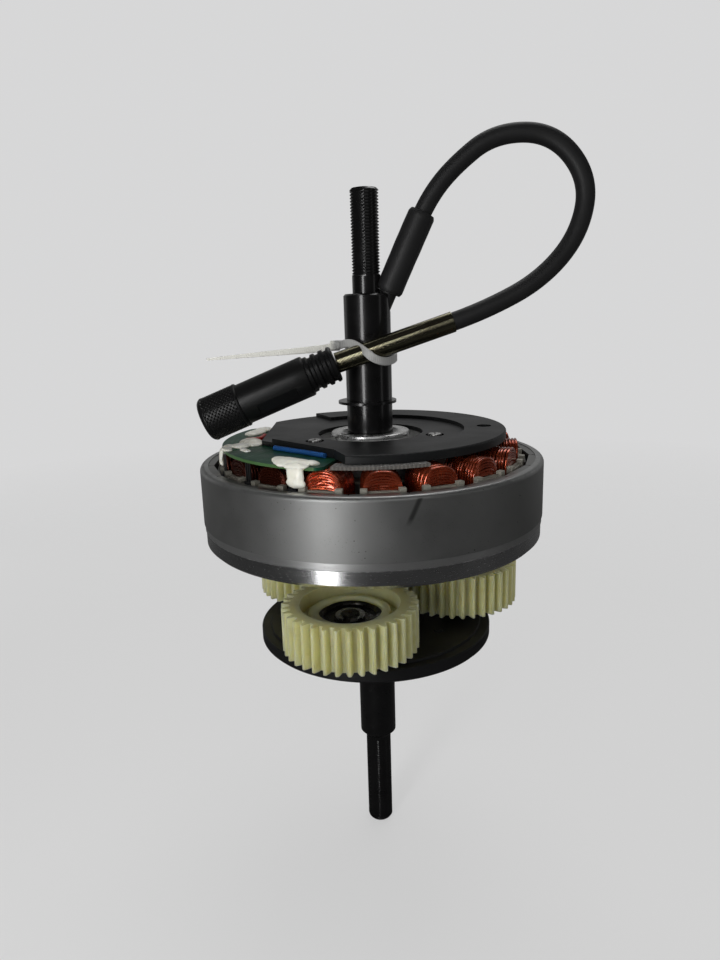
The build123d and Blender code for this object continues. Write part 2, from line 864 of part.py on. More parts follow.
def make_sealant():
    """Dabs of silicone that hold the leads and the board."""
    outside = board_outer_radius + 2 * face_clearance
    drip_bottom = core_top + post_height + 2 * face_clearance
    drip_height = board_top + sealant_film - drip_bottom
    run = ring_sector(plate_cut_side + 8.5, outside + sealant_drip, 233.0, 251.5, board_top, sealant_film)
    run_drip = ring_sector(outside, outside + sealant_drip, 238.5, 249.5, drip_bottom, drip_height)
    side = ring_sector(plate_cut_side + 12.5, outside + sealant_drip, 192.0, 203.0, board_top, sealant_film)
    side_drip = ring_sector(outside, outside + sealant_drip, 193.0, 201.0, drip_bottom, drip_height)
    with BuildPart() as sealant:
        for piece in (run, run_drip, side, side_drip):
            add(piece)
        dab_orbit = plate_cut_side + 9.7
        for direction, length, width, turn in ((194.9, 13.0, 10.0, -55), (161.2, 18.0, 8.0, 70)):
            with BuildSketch(Plane.XY.offset(board_top)):
                with Locations(polar(dab_orbit, direction)):
                    Ellipse(length / 2, width / 2, rotation=turn)
            extrude(amount=sealant_height, taper=25)
        # The silicone runs round each sensor and its leads
        for place in sensor_places():
            with BuildSketch(place):
                Rectangle(sensor_depth + 2 * fit_clearance, sensor_width + 2 * fit_clearance)
            extrude(amount=board_bottom - place.origin.Z, mode=Mode.SUBTRACT)
    return sealant.part


def make_clutch_race():
    with BuildPart() as race:
        with BuildSketch(Plane.XY.offset(clutch_bottom)):
            Circle(clutch_race_radius)
            Circle(sun_seat_radius + fit_clearance, mode=Mode.SUBTRACT)
            with Locations((sun_seat_radius, 0)):
                Rectangle(2 * key_height, key_width + 2 * fit_clearance, mode=Mode.SUBTRACT)
        extrude(amount=clutch_race_height)
    return race.part


def make_clutch_key():
    with BuildPart() as key:
        with BuildSketch(clutch_key_plane()):
            SlotOverall(key_length, key_width)
        extrude(amount=2 * key_height - face_clearance)
    return key.part


def rivet_places():
    return [polar(rivet_orbit, direction) for direction in around(planet_count, rivet_direction)]


def make_carrier_disc():
    rim_top = carrier_top - carrier_rim_drop
    rim_inner = carrier_radius - carrier_rim_width
    lip_radius = clutch_race_radius + clutch_lip_gap
    lip_top = carrier_bottom + clutch_lip_height
    edge = 0.4
    with BuildPart() as disc:
        add(
            turned(
                (lip_radius, carrier_bottom),
                (carrier_radius - carrier_edge_round, carrier_bottom),
                (carrier_radius, carrier_bottom + carrier_edge_round),
                (carrier_radius, rim_top - edge),
                (carrier_radius - edge, rim_top),
                (rim_inner + edge, rim_top),
                (rim_inner, carrier_top),
                (carrier_hub_radius, carrier_top),
                (carrier_hub_radius - edge, carrier_hub_top),
                (clutch_outer_radius, carrier_hub_top),
                (clutch_outer_radius, lip_top),
                (lip_radius, lip_top),
            )
        )
        with BuildSketch(Plane.XY.offset(carrier_bottom)):
            with Locations(*planet_centres()):
                Circle(pin_root_radius + fit_clearance)
            with Locations(*rivet_places()):
                Circle(rivet_radius + fit_clearance)
        extrude(amount=carrier_thickness, mode=Mode.SUBTRACT)
    return disc.part


def make_clutch_rollers():
    with BuildPart() as rollers:
        with BuildSketch(Plane.XY.offset(carrier_bottom + clutch_lip_height + face_clearance)):
            with PolarLocations(clutch_orbit, roller_count):
                Circle(roller_radius)
        extrude(amount=roller_length)
    return rollers.part


def make_planet_pins():
    """Three stepped pins, pressed into the carrier and grooved for their clips."""
    shoulder_top = pin_seat_height - face_clearance
    clip_bottom = planet_bearing_top + face_clearance
    clip_top = clip_bottom + pin_clip_thickness
    top = planet_bearing_top + pin_tail
    neck = pin_radius - pin_groove_depth
    edge = 0.4
    dimple = 1.2
    pin = turned(
        (0, carrier_bottom),
        (pin_root_radius, carrier_bottom),
        (pin_root_radius, carrier_top),
        (pin_shoulder_radius, carrier_top),
        (pin_shoulder_radius, shoulder_top),
        (pin_radius, shoulder_top),
        (pin_radius, clip_bottom),
        (neck, clip_bottom),
        (neck, clip_top),
        (pin_radius, clip_top),
        (pin_radius, top - edge),
        (pin_radius - edge, top),
        (dimple, top),
        (0, top - dimple),
    )
    with BuildPart() as pins:
        for place in planet_centres():
            add(pin.moved(Location((*place, 0))))
    return pins.part


def make_pin_clips():
    with BuildPart() as clips:
        with BuildSketch(Plane.XY.offset(planet_bearing_top + face_clearance)):
            with Locations(*planet_centres()):
                Circle(pin_radius + pin_clip_width)
                Circle(pin_radius - pin_groove_depth + fit_clearance, mode=Mode.SUBTRACT)
            for direction in around(planet_count, planet_direction):
                with Locations(polar(gear_distance + pin_radius + pin_clip_width, direction)):
                    Rectangle(2 * pin_radius, pin_clip_gap, rotation=direction, mode=Mode.SUBTRACT)
        extrude(amount=pin_clip_thickness)
    return clips.part


def make_carrier_rivets():
    with BuildPart() as rivets:
        with BuildSketch(Plane.XY.offset(carrier_bottom)):
            with Locations(*rivet_places()):
                Circle(rivet_radius)
        extrude(amount=carrier_thickness + rivet_head_height)
        fillet(rivets.edges().group_by(Axis.Z)[-1], radius=rivet_head_height * 0.7)
    return rivets.part


def ball_bearing(bore, outer, width, bottom):
    """A shielded bearing as one solid, with its rings standing proud of the shields."""
    inner_wall = bore + bearing_ring_wall
    outer_wall = outer - bearing_ring_wall
    low = bottom + shield_recess
    high = bottom + width - shield_recess
    return turned(
        (bore, bottom),
        (inner_wall, bottom),
        (inner_wall, low),
        (outer_wall, low),
        (outer_wall, bottom),
        (outer, bottom),
        (outer, bottom + width),
        (outer_wall, bottom + width),
        (outer_wall, high),
        (inner_wall, high),
        (inner_wall, bottom + width),
        (bore, bottom + width),
    )


def make_planet_bearing():
    return ball_bearing(
        pin_radius + running_clearance,
        planet_bearing_radius - fit_clearance,
        planet_bearing_width,
        pin_seat_height,
    )


def make_planet_gear():
    """A moulded planet gear on the axle's axis, recessed on both faces round its bearing."""
    step = 360 / planet_teeth
    lower_face = planet_bottom + planet_recess_depth
    upper_face = planet_top - planet_recess_depth
    hub_top = planet_top - planet_hub_drop
    draft = 0.4
    with BuildPart() as gear:
        with BuildSketch(Plane.XY.offset(planet_bottom)):
            add(gear_outline(planet_teeth, planet_direction + 180 + step / 2))
        extrude(amount=planet_width)
        # Both recessed faces and the bearing's bore, in one turned cut
        add(
            turned(
                (0, planet_top + 1),
                (0, planet_bottom - 1),
                (planet_recess_radius, planet_bottom - 1),
                (planet_recess_radius, planet_bottom),
                (planet_recess_radius - draft, lower_face),
                (planet_lip_radius, lower_face),
                (planet_lip_radius, pin_seat_height),
                (planet_bearing_radius, pin_seat_height),
                (planet_bearing_radius, planet_bearing_top),
                (planet_funnel_radius, hub_top),
                (planet_hub_radius - planet_hub_edge, hub_top),
                (planet_hub_radius, hub_top - planet_hub_edge),
                (planet_hub_radius + draft, upper_face),
                (planet_recess_radius - draft, upper_face),
                (planet_recess_radius, planet_top),
                (planet_recess_radius, planet_top + 1),
            ),
            mode=Mode.SUBTRACT,
        )
    return gear.part


def make_sun_gear():
    """Sun gear with the tubular shaft that the rotor cover is pressed on."""
    shaft_top = cover_floor_top - 2 * face_clearance
    with BuildPart() as sun:
        with BuildSketch(Plane.XY.offset(sun_bottom)):
            add(gear_outline(sun_teeth, planet_direction))
        extrude(amount=sun_top - sun_bottom)
        with BuildSketch(Plane.XY.offset(sun_top)):
            Circle(sun_shaft_radius)
        extrude(amount=shaft_top - sun_top)
        with BuildSketch(Plane.XY.offset(sun_bottom)):
            Circle(sun_seat_radius + sun_bore_clearance)
        extrude(amount=shaft_top - sun_bottom, mode=Mode.SUBTRACT)
    return sun.part


def make_rotor_cover():
    """Turned aluminium dish that closes the rotor and carries its bearings and sun gear."""
    bore = sun_shaft_radius + fit_clearance
    boss_top = cover_floor_top + 2 * rotor_bearing_width
    spigot_outer = rotor_inner_radius - fit_clearance
    spigot_inner = spigot_outer - cover_spigot_wall
    recess_top = cover_bottom + cover_recess_depth
    recess_inner = cover_boss_radius + cover_recess_margin
    recess_outer = cover_band_radius - cover_recess_margin
    inside_round = 2.0
    return turned(
        (bore, cover_bottom),
        (recess_inner, cover_bottom),
        (recess_inner + cover_recess_depth, recess_top),
        (recess_outer - cover_recess_depth, recess_top),
        (recess_outer, cover_bottom),
        (cover_band_radius - cover_edge_round, cover_bottom),
        (cover_band_radius, cover_bottom + cover_edge_round),
        (cover_band_radius, cover_top - cover_band_height),
        (cover_radius, cover_top - cover_band_height + cover_band_inset - cover_inset),
        (cover_radius, cover_top),
        (spigot_outer, cover_top),
        (spigot_outer, cover_top + cover_spigot_height),
        (spigot_inner, cover_top + cover_spigot_height),
        (spigot_inner, cover_floor_top + inside_round),
        (spigot_inner - inside_round, cover_floor_top),
        (cover_boss_radius, cover_floor_top),
        (cover_boss_radius, boss_top),
        (rotor_bearing_radius, boss_top),
        (rotor_bearing_radius, cover_floor_top),
        (bore, cover_floor_top),
    )


def make_rotor_ring():
    with BuildPart() as ring:
        with BuildSketch(Plane.XY.offset(cover_top)):
            Circle(rotor_radius)
            Circle(rotor_inner_radius, mode=Mode.SUBTRACT)
        extrude(amount=rotor_height)
        outer_edges = ring.edges().filter_by(GeomType.CIRCLE).sort_by(SortBy.RADIUS)[-2:]
        fillet(outer_edges.sort_by(Axis.Z)[-1], radius=rotor_edge_round)
    return ring.part


def make_magnets():
    """Magnets, flat on the inside and round where they meet the ring."""
    bottom = cover_top + cover_spigot_height + magnet_drop
    top = rotor_top - magnet_drop
    with BuildPart() as magnets:
        with BuildSketch(Plane.XY.offset(bottom)):
            for direction in around(magnet_count, magnet_direction):
                with Locations(polar(magnet_flat + magnet_thickness / 2, direction)):
                    Rectangle(magnet_thickness, magnet_width, rotation=direction)
            Circle(magnet_outer_radius, mode=Mode.INTERSECT)
        extrude(amount=top - bottom)
    return magnets.part


def make_rotor_bearings():
    with BuildPart() as bearings:
        for number in range(2):
            add(
                ball_bearing(
                    axle_radius + running_clearance,
                    rotor_bearing_radius - fit_clearance,
                    rotor_bearing_width - 2 * face_clearance,
                    cover_floor_top + number * rotor_bearing_width,
                )
            )
    return bearings.part


def corner_radii(points):
    """The largest tangent arc that both runs beside each corner allow."""
    radii = []
    for before, corner, after in zip(points, points[1:], points[2:]):
        run_in = Vector(*corner) - Vector(*before)
        run_out = Vector(*after) - Vector(*corner)
        shorter = min(run_in.length, run_out.length)
        half_turn = radians(run_in.get_angle(run_out)) / 2
        radii.append(0.45 * shorter / tan(half_turn))
    return radii


def route_length(points, radii):
    total = 0.0
    for start, end in zip(points, points[1:]):
        total += (Vector(*end) - Vector(*start)).length
    for before, corner, after, radius in zip(points, points[1:], points[2:], radii):
        run_in = Vector(*corner) - Vector(*before)
        run_out = Vector(*after) - Vector(*corner)
        turn = radians(run_in.get_angle(run_out))
        total += radius * turn - 2 * radius * tan(turn / 2)
    return total


def make_cable():
    radii = corner_radii(cable_route)
    with BuildPart() as cable:
        with BuildLine() as path:
            FilletPolyline(*cable_route, radius=radii)
        with BuildSketch(Plane(origin=path.line @ 0, z_dir=path.line % 0)):
            Circle(cable_radius)
        sweep()
    length = route_length(cable_route, radii)
    print("cable radii", [round(radius, 1) for radius in radii])
    print("cable length", round(length, 1), "section times length", round(pi * cable_radius**2 * length))
    print("cable volume", round(cable.part.volume))
    return cable.part


def straight_tube(start, way, length, outer, inner):
    with BuildPart() as tube:
        with BuildSketch(Plane(origin=start, z_dir=way)):
            Circle(outer)
            Circle(inner, mode=Mode.SUBTRACT)
        extrude(amount=length)
    return tube.part


def make_cable_sleeve():
    """Shrunk sleeve over the cable's straight stretch beside the axle."""
    inner = cable_radius + fit_clearance
    start = Vector(*cable_route[0]) + cable_start_way() * shrink_sleeve_start
    return straight_tube(start, cable_start_way(), shrink_sleeve_length, inner + shrink_sleeve_wall, inner)


def make_cable_spring():
    """Bend protection spring, as a closed tube over the cable's last stretch."""
    end = Vector(*cable_route[-1])
    way = (Vector(*cable_route[-2]) - end).normalized()
    return straight_tube(end, way, spring_length, spring_radius, cable_radius + spring_clearance)


def connector_plane():
    """Starts beside the cable's end, with its local Z along the connector towards the mouth."""
    end = Vector(*cable_route[-1])
    cable_way = end - Vector(*cable_route[-2])
    bend = radians(cable_way.get_angle(connector_direction))
    gap = spring_radius * tan(bend) + face_clearance
    return Plane(origin=end + connector_direction.normalized() * gap, z_dir=connector_direction)


def connector_length():
    return boot_length + body_length + collar_length


def make_connector_shell():
    """Moulded shell: ribbed boot, smooth body and knurled collar with an open mouth."""
    rib = boot_length / (2 * boot_grooves + 1)
    edge = 0.6
    collar_start = boot_length + body_length
    mouth_floor = connector_length() - connector_mouth_depth
    section = [(0, 0), (boot_radius - edge, 0), (boot_radius, edge)]
    for number in range(boot_grooves):
        low = (2 * number + 1) * rib
        section += [
            (boot_radius, low),
            (boot_radius - boot_groove_depth, low + rib / 6),
            (boot_radius - boot_groove_depth, low + rib * 5 / 6),
            (boot_radius, low + rib),
        ]
    section += [
        (boot_radius, boot_length),
        (connector_radius - edge, boot_length),
        (connector_radius, boot_length + edge),
        (connector_radius, collar_start),
        (collar_radius, collar_start + edge),
        (collar_radius, connector_length() - collar_length / 4),
        (collar_radius - 2 * edge, connector_length()),
        (connector_mouth_radius, connector_length()),
        (connector_mouth_radius, mouth_floor),
        (0, mouth_floor),
    ]
    frame = connector_plane()
    panel_middle = frame.origin + frame.z_dir * (boot_length + body_length / 2)
    panel = Plane(origin=panel_middle, x_dir=frame.z_dir, z_dir=Vector(-0.2, -0.75, -0.6))
    with BuildPart() as shell:
        with BuildSketch(Plane(origin=frame.origin, x_dir=frame.x_dir, z_dir=-frame.y_dir)):
            with BuildLine():
                Polyline(*section, close=True)
            make_face()
        revolve(axis=Axis(frame.origin, frame.z_dir))
        # A shallow flat panel along the body's underside
        with BuildSketch(panel.offset(connector_radius - panel_depth)):
            Rectangle(panel_length, panel_width)
        extrude(amount=4 * panel_depth, mode=Mode.SUBTRACT)
    return shell.part


def contact_places():
    """One contact in the middle and the others in a ring."""
    return [(0, 0)] + [polar(contact_ring_radius, direction) for direction in around(contact_count, 0)]


def make_connector_insert():
    frame = connector_plane()
    floor = connector_length() - connector_mouth_depth
    with BuildPart() as insert:
        with BuildSketch(frame.offset(floor)):
            Circle(connector_mouth_radius - fit_clearance)
        extrude(amount=connector_mouth_depth - insert_recess)
        with BuildSketch(frame.offset(floor + insert_recess)):
            with Locations(*contact_places()):
                Circle(contact_radius + fit_clearance)
            with Locations((0, connector_mouth_radius)):
                Rectangle(4 * contact_radius, 3 * contact_radius)
        extrude(amount=connector_mouth_depth, mode=Mode.SUBTRACT)
    return insert.part


def make_connector_contacts():
    """Seven round pins that stand in the insert and end inside the mouth."""
    start = connector_length() - connector_mouth_depth + insert_recess
    with BuildPart() as contacts:
        with BuildSketch(connector_plane().offset(start)):
            with Locations(*contact_places()):
                Circle(contact_radius)
        extrude(amount=connector_mouth_depth - 1.2 * insert_recess)
    return contacts.part


def tie_inside():
    """The shape that the tie's band encloses: the axle and, in front of it, the spring."""
    front = -cable_route[-1][1] + spring_radius + tie_clearance
    tilt = radians(tie_tilt)
    with BuildSketch() as inside:
        Circle((axle_radius + tie_clearance + sin(tilt) * tie_width / 2) / cos(tilt))
        for side in (-1, 1):
            with Locations((side * tie_half_span, tie_corner_radius - front)):
                Circle(tie_corner_radius)
        make_hull()
    return inside.sketch


def make_cable_tie():
    """One moulded tie: band, ratchet head and pointed tail."""
    inside = tie_inside()
    band_plane = Plane(origin=(0, 0, tie_height)).rotated((0, tie_tilt, 0))
    left = -axle_radius - tie_clearance - tie_thickness
    rise = -left * tan(radians(tie_tilt))
    head_middle = left - tie_thickness
    tail_end = left - tie_tail_length
    with BuildPart() as tie:
        with BuildSketch(band_plane.offset(-tie_width / 2)):
            add(inside)
            offset(amount=tie_thickness)
            add(inside, mode=Mode.SUBTRACT)
        extrude(amount=tie_width)
        # The head sits at the left of the band, and the tail runs out from it
        with BuildSketch(Plane.XY.offset(tie_height + rise - tie_width / 2)):
            with Locations((head_middle, -tie_head_length)):
                Rectangle(tie_head_width, tie_head_length)
        extrude(amount=tie_width)
        with BuildSketch(Plane.XZ.offset(tie_head_length - tie_thickness / 2)):
            with BuildLine():
                Polyline(
                    (head_middle, tie_height + rise - 1.2),
                    (head_middle, tie_height + rise + 1.2),
                    (left - tie_tail_length * 0.6, tie_height + 1.6),
                    (tail_end, tie_height - 0.4),
                    (tail_end, tie_height - 1.2),
                    (left - tie_tail_length * 0.6, tie_height - 0.4),
                    close=True,
                )
            make_face()
        extrude(amount=tie_thickness)
    return tie.part


def write(name, solid):
    solid.label = name
    export_step(solid, f"parts/{name}.step")


os.makedirs("parts", exist_ok=True)

write("axle", make_axle())
write("hub_ring", make_hub_ring())
write("stator_snap_ring", make_stator_snap_ring())
write("stator_hub", make_stator_hub())
write("stator_plate", make_stator_plate())
write("plate_screws", make_plate_screws())
write("stator_core", make_stator_core())
write("upper_insulator", make_insulator(upper=True))
write("lower_insulator", make_insulator(upper=False))
write("windings", make_windings())
write("circuit_board", make_circuit_board())
write("hall_sensors", make_hall_sensors())
write("blue_lead", make_blue_lead())
write("red_lead", make_red_lead())
write("wire_sleeving", make_wire_sleeving())
write("sealant", make_sealant())
write("clutch_race", make_clutch_race())
write("clutch_key", make_clutch_key())
write("cable", make_cable())
write("cable_sleeve", make_cable_sleeve())
write("cable_spring", make_cable_spring())
write("connector_shell", make_connector_shell())
write("connector_insert", make_connector_insert())
write("connector_contacts", make_connector_contacts())
write("cable_tie", make_cable_tie())

write("carrier_disc", make_carrier_disc())
write("clutch_rollers", make_clutch_rollers())
write("planet_pins", make_planet_pins())
write("pin_clips", make_pin_clips())
write("carrier_rivets", make_carrier_rivets())

write("rotor_ring", make_rotor_ring())
write("magnets", make_magnets())
write("rotor_cover", make_rotor_cover())
write("rotor_bearings", make_rotor_bearings())
write("sun_gear", make_sun_gear())

planet_gear = make_planet_gear()
planet_bearing = make_planet_bearing()
for number in range(planet_count):
    turn = number * 360 / planet_count
    place = polar(gear_distance, planet_direction + turn)
    write(f"planet_gear_{number + 1}", Pos(*place, 0) * Rot(0, 0, turn) * planet_gear)
    write(f"planet_bearing_{number + 1}", Pos(*place, 0) * planet_bearing)
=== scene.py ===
import json
import math
import random

import bmesh
import bpy
from mathutils import Matrix, Vector


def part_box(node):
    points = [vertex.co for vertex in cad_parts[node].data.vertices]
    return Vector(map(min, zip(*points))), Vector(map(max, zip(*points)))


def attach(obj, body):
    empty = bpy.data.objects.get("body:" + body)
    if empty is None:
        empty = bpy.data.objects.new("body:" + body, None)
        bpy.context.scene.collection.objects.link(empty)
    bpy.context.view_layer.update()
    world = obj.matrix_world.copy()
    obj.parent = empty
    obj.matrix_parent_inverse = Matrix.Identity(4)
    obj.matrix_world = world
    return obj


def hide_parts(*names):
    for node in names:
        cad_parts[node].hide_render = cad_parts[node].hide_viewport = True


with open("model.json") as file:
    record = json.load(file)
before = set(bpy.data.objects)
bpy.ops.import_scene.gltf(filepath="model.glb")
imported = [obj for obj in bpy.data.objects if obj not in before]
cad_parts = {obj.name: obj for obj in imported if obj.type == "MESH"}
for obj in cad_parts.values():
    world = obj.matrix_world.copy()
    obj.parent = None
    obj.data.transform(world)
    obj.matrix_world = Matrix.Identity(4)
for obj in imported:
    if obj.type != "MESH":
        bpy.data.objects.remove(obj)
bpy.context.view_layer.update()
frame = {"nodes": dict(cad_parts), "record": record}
nodes = frame["nodes"]
scene = bpy.context.scene
scene.view_settings.view_transform = "Standard"
millimetre = 0.001
noiseRange = (0.3, 0.7)  # where most of a noise's values lie


# Shader maths: one socket of a finish, with the arithmetic that the finishes use
class Wire:
    def __init__(self, finish, socket):
        self.finish = finish
        self.socket = socket

    def work(self, operation, first, second=0.0):
        return self.finish.node("Math", {"operation": operation}, {0: first, 1: second})

    def __add__(self, other):
        return self.work("ADD", self, other)

    def __radd__(self, other):
        return self.work("ADD", other, self)

    def __sub__(self, other):
        return self.work("SUBTRACT", self, other)

    def __rsub__(self, other):
        return self.work("SUBTRACT", other, self)

    def __mul__(self, other):
        return self.work("MULTIPLY", self, other)

    def __rmul__(self, other):
        return self.work("MULTIPLY", other, self)

    def __truediv__(self, other):
        return self.work("DIVIDE", self, other)

    def __rtruediv__(self, other):
        return self.work("DIVIDE", other, self)

    def __pow__(self, other):
        return self.work("POWER", self, other)

    def __rpow__(self, other):
        return self.work("POWER", other, self)

    def wave(self):
        return self.work("SINE", self)

    def size(self):
        return self.work("ABSOLUTE", self)


class Finish:
    def __init__(self, name, fixed):
        self.material = bpy.data.materials.new(name)
        self.material.use_nodes = True
        self.tree = self.material.node_tree
        self.shader = self.tree.nodes["Principled BSDF"]
        for socket, value in fixed.items():
            self.feed(self.shader.inputs[socket], value)
        self.place = self.node("TexCoord", {}, {}, "Object")

    def feed(self, socket, value):
        if isinstance(value, Wire):
            self.tree.links.new(value.socket, socket)
        elif socket.type == "RGBA" and len(value) == 3:
            socket.default_value = (*value, 1.0)
        else:
            socket.default_value = value

    # Any node: its kind, its settings first, then its sockets' values or links
    def node(self, kind, settings, sockets, output=0):
        made = self.tree.nodes.new("ShaderNode" + kind)
        for setting, value in settings.items():
            setattr(made, setting, value)
        for socket, value in sockets.items():
            self.feed(made.inputs[socket], value)
        return Wire(self, made.outputs[output])

    def mapped(self, scale, turn=(0.0, 0.0, 0.0)):
        return self.node("Mapping", {}, {"Vector": self.place, "Scale": scale, "Rotation": turn})

    def noise(self, scale, detail=3.0, rough=0.55, at=None):
        sockets = {"Vector": at or self.place, "Scale": scale, "Detail": detail, "Roughness": rough}
        return self.node("TexNoise", {}, sockets)

    def between(self, value, low, high, start=0.0, end=1.0):
        sockets = {0: value, 1: low, 2: high, 3: start, 4: end}
        return self.node("MapRange", {"clamp": True}, sockets)

    def spread(self, noise, start, end):  # a noise's own range brought to start and end
        return self.between(noise, noiseRange[0], noiseRange[1], start, end)

    # Soft-edged patches where a noise rises above a level
    def patches(self, low, high, scale, detail=3.0, rough=0.55):
        return self.between(self.noise(scale, detail, rough), low, high)

    # Small round marks at the middles of cells
    def marks(self, scale, low, high):
        cells = self.node("TexVoronoi", {}, {"Vector": self.place, "Scale": scale})
        return self.between(cells, low, high, 1.0, 0.0)

    def axes(self):
        split = self.node("SeparateXYZ", {}, {0: self.place})
        outputs = split.socket.node.outputs
        return [Wire(self, outputs[axis]) for axis in range(3)]

    # Distance from the motor's axis, angle round it and height
    def polar(self):
        x, y, z = self.axes()
        return (x * x + y * y) ** 0.5, x.work("ARCTAN2", y, x), z

    # Fine lines left by turning, as noise that is stretched round the axis
    def turning(self, scale, radialScale=1.0, detail=2.0):
        radius, angle, z = self.polar()
        spot = self.node("CombineXYZ", {}, {0: radius * radialScale, 1: z, 2: angle * 0.0006})
        return self.noise(scale, detail, 0.6, spot)

    def mix(self, factor, first, second):
        return self.node("Mix", {"data_type": "RGBA"}, {0: factor, 6: first, 7: second}, 2)

    def bump(self, height, distance, strength=1.0, under=None):
        sockets = {"Height": height, "Distance": distance, "Strength": strength}
        if under:
            sockets["Normal"] = under
        return self.node("Bump", {}, sockets)

    def wear(self, **sockets):
        names = {"colour": "Base Color", "rough": "Roughness", "metal": "Metallic", "normal": "Normal"}
        names["coat"] = "Coat Weight"
        for key, value in sockets.items():
            self.feed(self.shader.inputs[names[key]], value)
        return self.material


def axleSteel():
    settings = {"Metallic": 0.6, "Specular IOR Level": 0.5, "Coat Weight": 0.6, "Coat Roughness": 0.14}
    finish = Finish("axleSteel", settings)
    cloud = finish.noise(160.0, 4.0)
    lines = finish.turning(5200.0)
    scuffs = finish.patches(0.62, 0.75, 420.0, 5.0, 0.7)
    colour = finish.mix(cloud, (0.006, 0.006, 0.0065), (0.014, 0.0135, 0.014))
    colour = finish.mix(scuffs * 0.35, colour, (0.06, 0.058, 0.055))
    rough = finish.spread(cloud, 0.26, 0.36) + scuffs * 0.1
    normal = finish.bump(lines, 0.00001, 0.25)
    return finish.wear(colour=colour, rough=rough, normal=normal)


def brightSteel():
    finish = Finish("brightSteel", {"Metallic": 1.0})
    cloud = finish.noise(300.0, 3.0)
    dirt = finish.patches(0.55, 0.8, 700.0, 5.0, 0.65)
    colour = finish.mix(cloud, (0.42, 0.42, 0.41), (0.62, 0.61, 0.6))
    colour = finish.mix(dirt * 0.7, colour, (0.16, 0.145, 0.125))
    rough = finish.spread(cloud, 0.2, 0.34) + dirt * 0.2
    normal = finish.bump(finish.noise(2600.0, 2.0), 0.00001, 0.4)
    return finish.wear(colour=colour, rough=rough, normal=normal)


snapRing = {"innerShadeEdge": (12.4, 13.6), "crown": 14.5, "crownHalf": 3.2, "crownHeight": 1.2}


# The snap ring round the axle: bright and crowned, with painted shade and a painted dark reflection of the
# axle in its inner corner
def snapSteel():
    finish = Finish("snapSteel", {"Metallic": 0.9})
    radius = finish.polar()[0]
    cloud = finish.noise(260.0, 4.0)
    innerShadeStart, innerShadeEnd = (edge * millimetre for edge in snapRing["innerShadeEdge"])
    # Painted shade: the inner band is darkened where the axle shadows it and is mirrored in it
    darkened = finish.between(radius + cloud * 0.0016, innerShadeStart, innerShadeEnd, 1.0, 0.0)
    dirt = finish.patches(0.62, 0.8, 800.0, 5.0, 0.65)
    colour = finish.mix(cloud, (0.62, 0.62, 0.61), (0.86, 0.86, 0.85))
    colour = finish.mix(dirt * 0.3, colour, (0.2, 0.19, 0.17))
    colour = finish.mix(darkened * 0.9, colour, (0.05, 0.048, 0.045))
    across = (radius - snapRing["crown"] * millimetre) / (snapRing["crownHalf"] * millimetre)
    crowned = finish.bump(1.0 - across * across, snapRing["crownHeight"] * millimetre, 1.0)
    normal = finish.bump(finish.noise(300.0, 2.0), 0.00002, 0.3, crowned)
    return finish.wear(colour=colour, rough=finish.spread(cloud, 0.22, 0.34), normal=normal)


ringMarks = {
    "rimHeight": 109.4,  # where the worn upper edge begins
    "rimFade": 0.9,
    "scratch": (-80.7, 99.8, -77.0, 110.2),  # angle and height of one end, then of the other
    "scratchWidth": 1.1,
    "scratchFade": (3.0, 0.5),
}


# 1 along the scratch between two places on the ring, 0 away from it
def scratched(finish, angle, z):
    startAngle, startHeight, endAngle, endHeight = ringMarks["scratch"]
    width = ringMarks["scratchWidth"]
    startFade, endFade = ringMarks["scratchFade"]
    slant = (endAngle - startAngle) / (endHeight - startHeight)
    height = z / millimetre
    across = (angle * (180.0 / math.pi) - startAngle) - (height - startHeight) * slant
    near = finish.between(across.size(), width * 0.3, width, 1.0, 0.0)
    rising = finish.between(height, startHeight, startHeight + startFade)
    return near * rising * finish.between(height, endHeight - endFade, endHeight, 1.0, 0.0)


def ringSteel():
    finish = Finish("ringSteel", {"Specular IOR Level": 0.5})
    angle, z = finish.polar()[1:]
    cloud = finish.noise(55.0, 4.0, 0.6)
    grain = finish.noise(1500.0, 3.0, 0.65)
    pits = finish.marks(430.0, 0.07, 0.13) * finish.patches(0.54, 0.64, 90.0)
    specks = finish.marks(1300.0, 0.1, 0.18) * finish.patches(0.52, 0.62, 140.0)
    mark = scratched(finish, angle, z)
    rimStart = ringMarks["rimHeight"] * millimetre
    rim = finish.between(z, rimStart, rimStart + ringMarks["rimFade"] * millimetre)
    rimWear = rim * finish.between(finish.noise(260.0, 4.0), 0.3, 0.6, 0.45, 1.0)
    colour = finish.mix(cloud, (0.2, 0.202, 0.2), (0.27, 0.272, 0.268))
    colour = finish.mix(grain * 0.3, colour, (0.33, 0.33, 0.325))
    colour = finish.mix(rimWear, colour, (0.36, 0.365, 0.36))
    colour = finish.mix(specks * 0.6, colour, (0.035, 0.035, 0.03))
    colour = finish.mix(pits * 0.85, colour, (0.02, 0.019, 0.017))
    colour = finish.mix(mark * 0.75, colour, (0.035, 0.035, 0.034))
    rough = finish.spread(cloud, 0.44, 0.52) + pits * 0.2 - rimWear * 0.15
    normal = finish.bump(grain, 0.000025, 0.5)
    normal = finish.bump(1.0 - pits, 0.00006, 0.6, normal)
    metal = finish.spread(grain, 0.85, 0.95)
    return finish.wear(colour=colour, rough=rough, metal=metal, normal=normal)


cover = {"stepHeight": 7.1, "stepFade": 0.25, "nickWidths": (0.1, 0.35)}


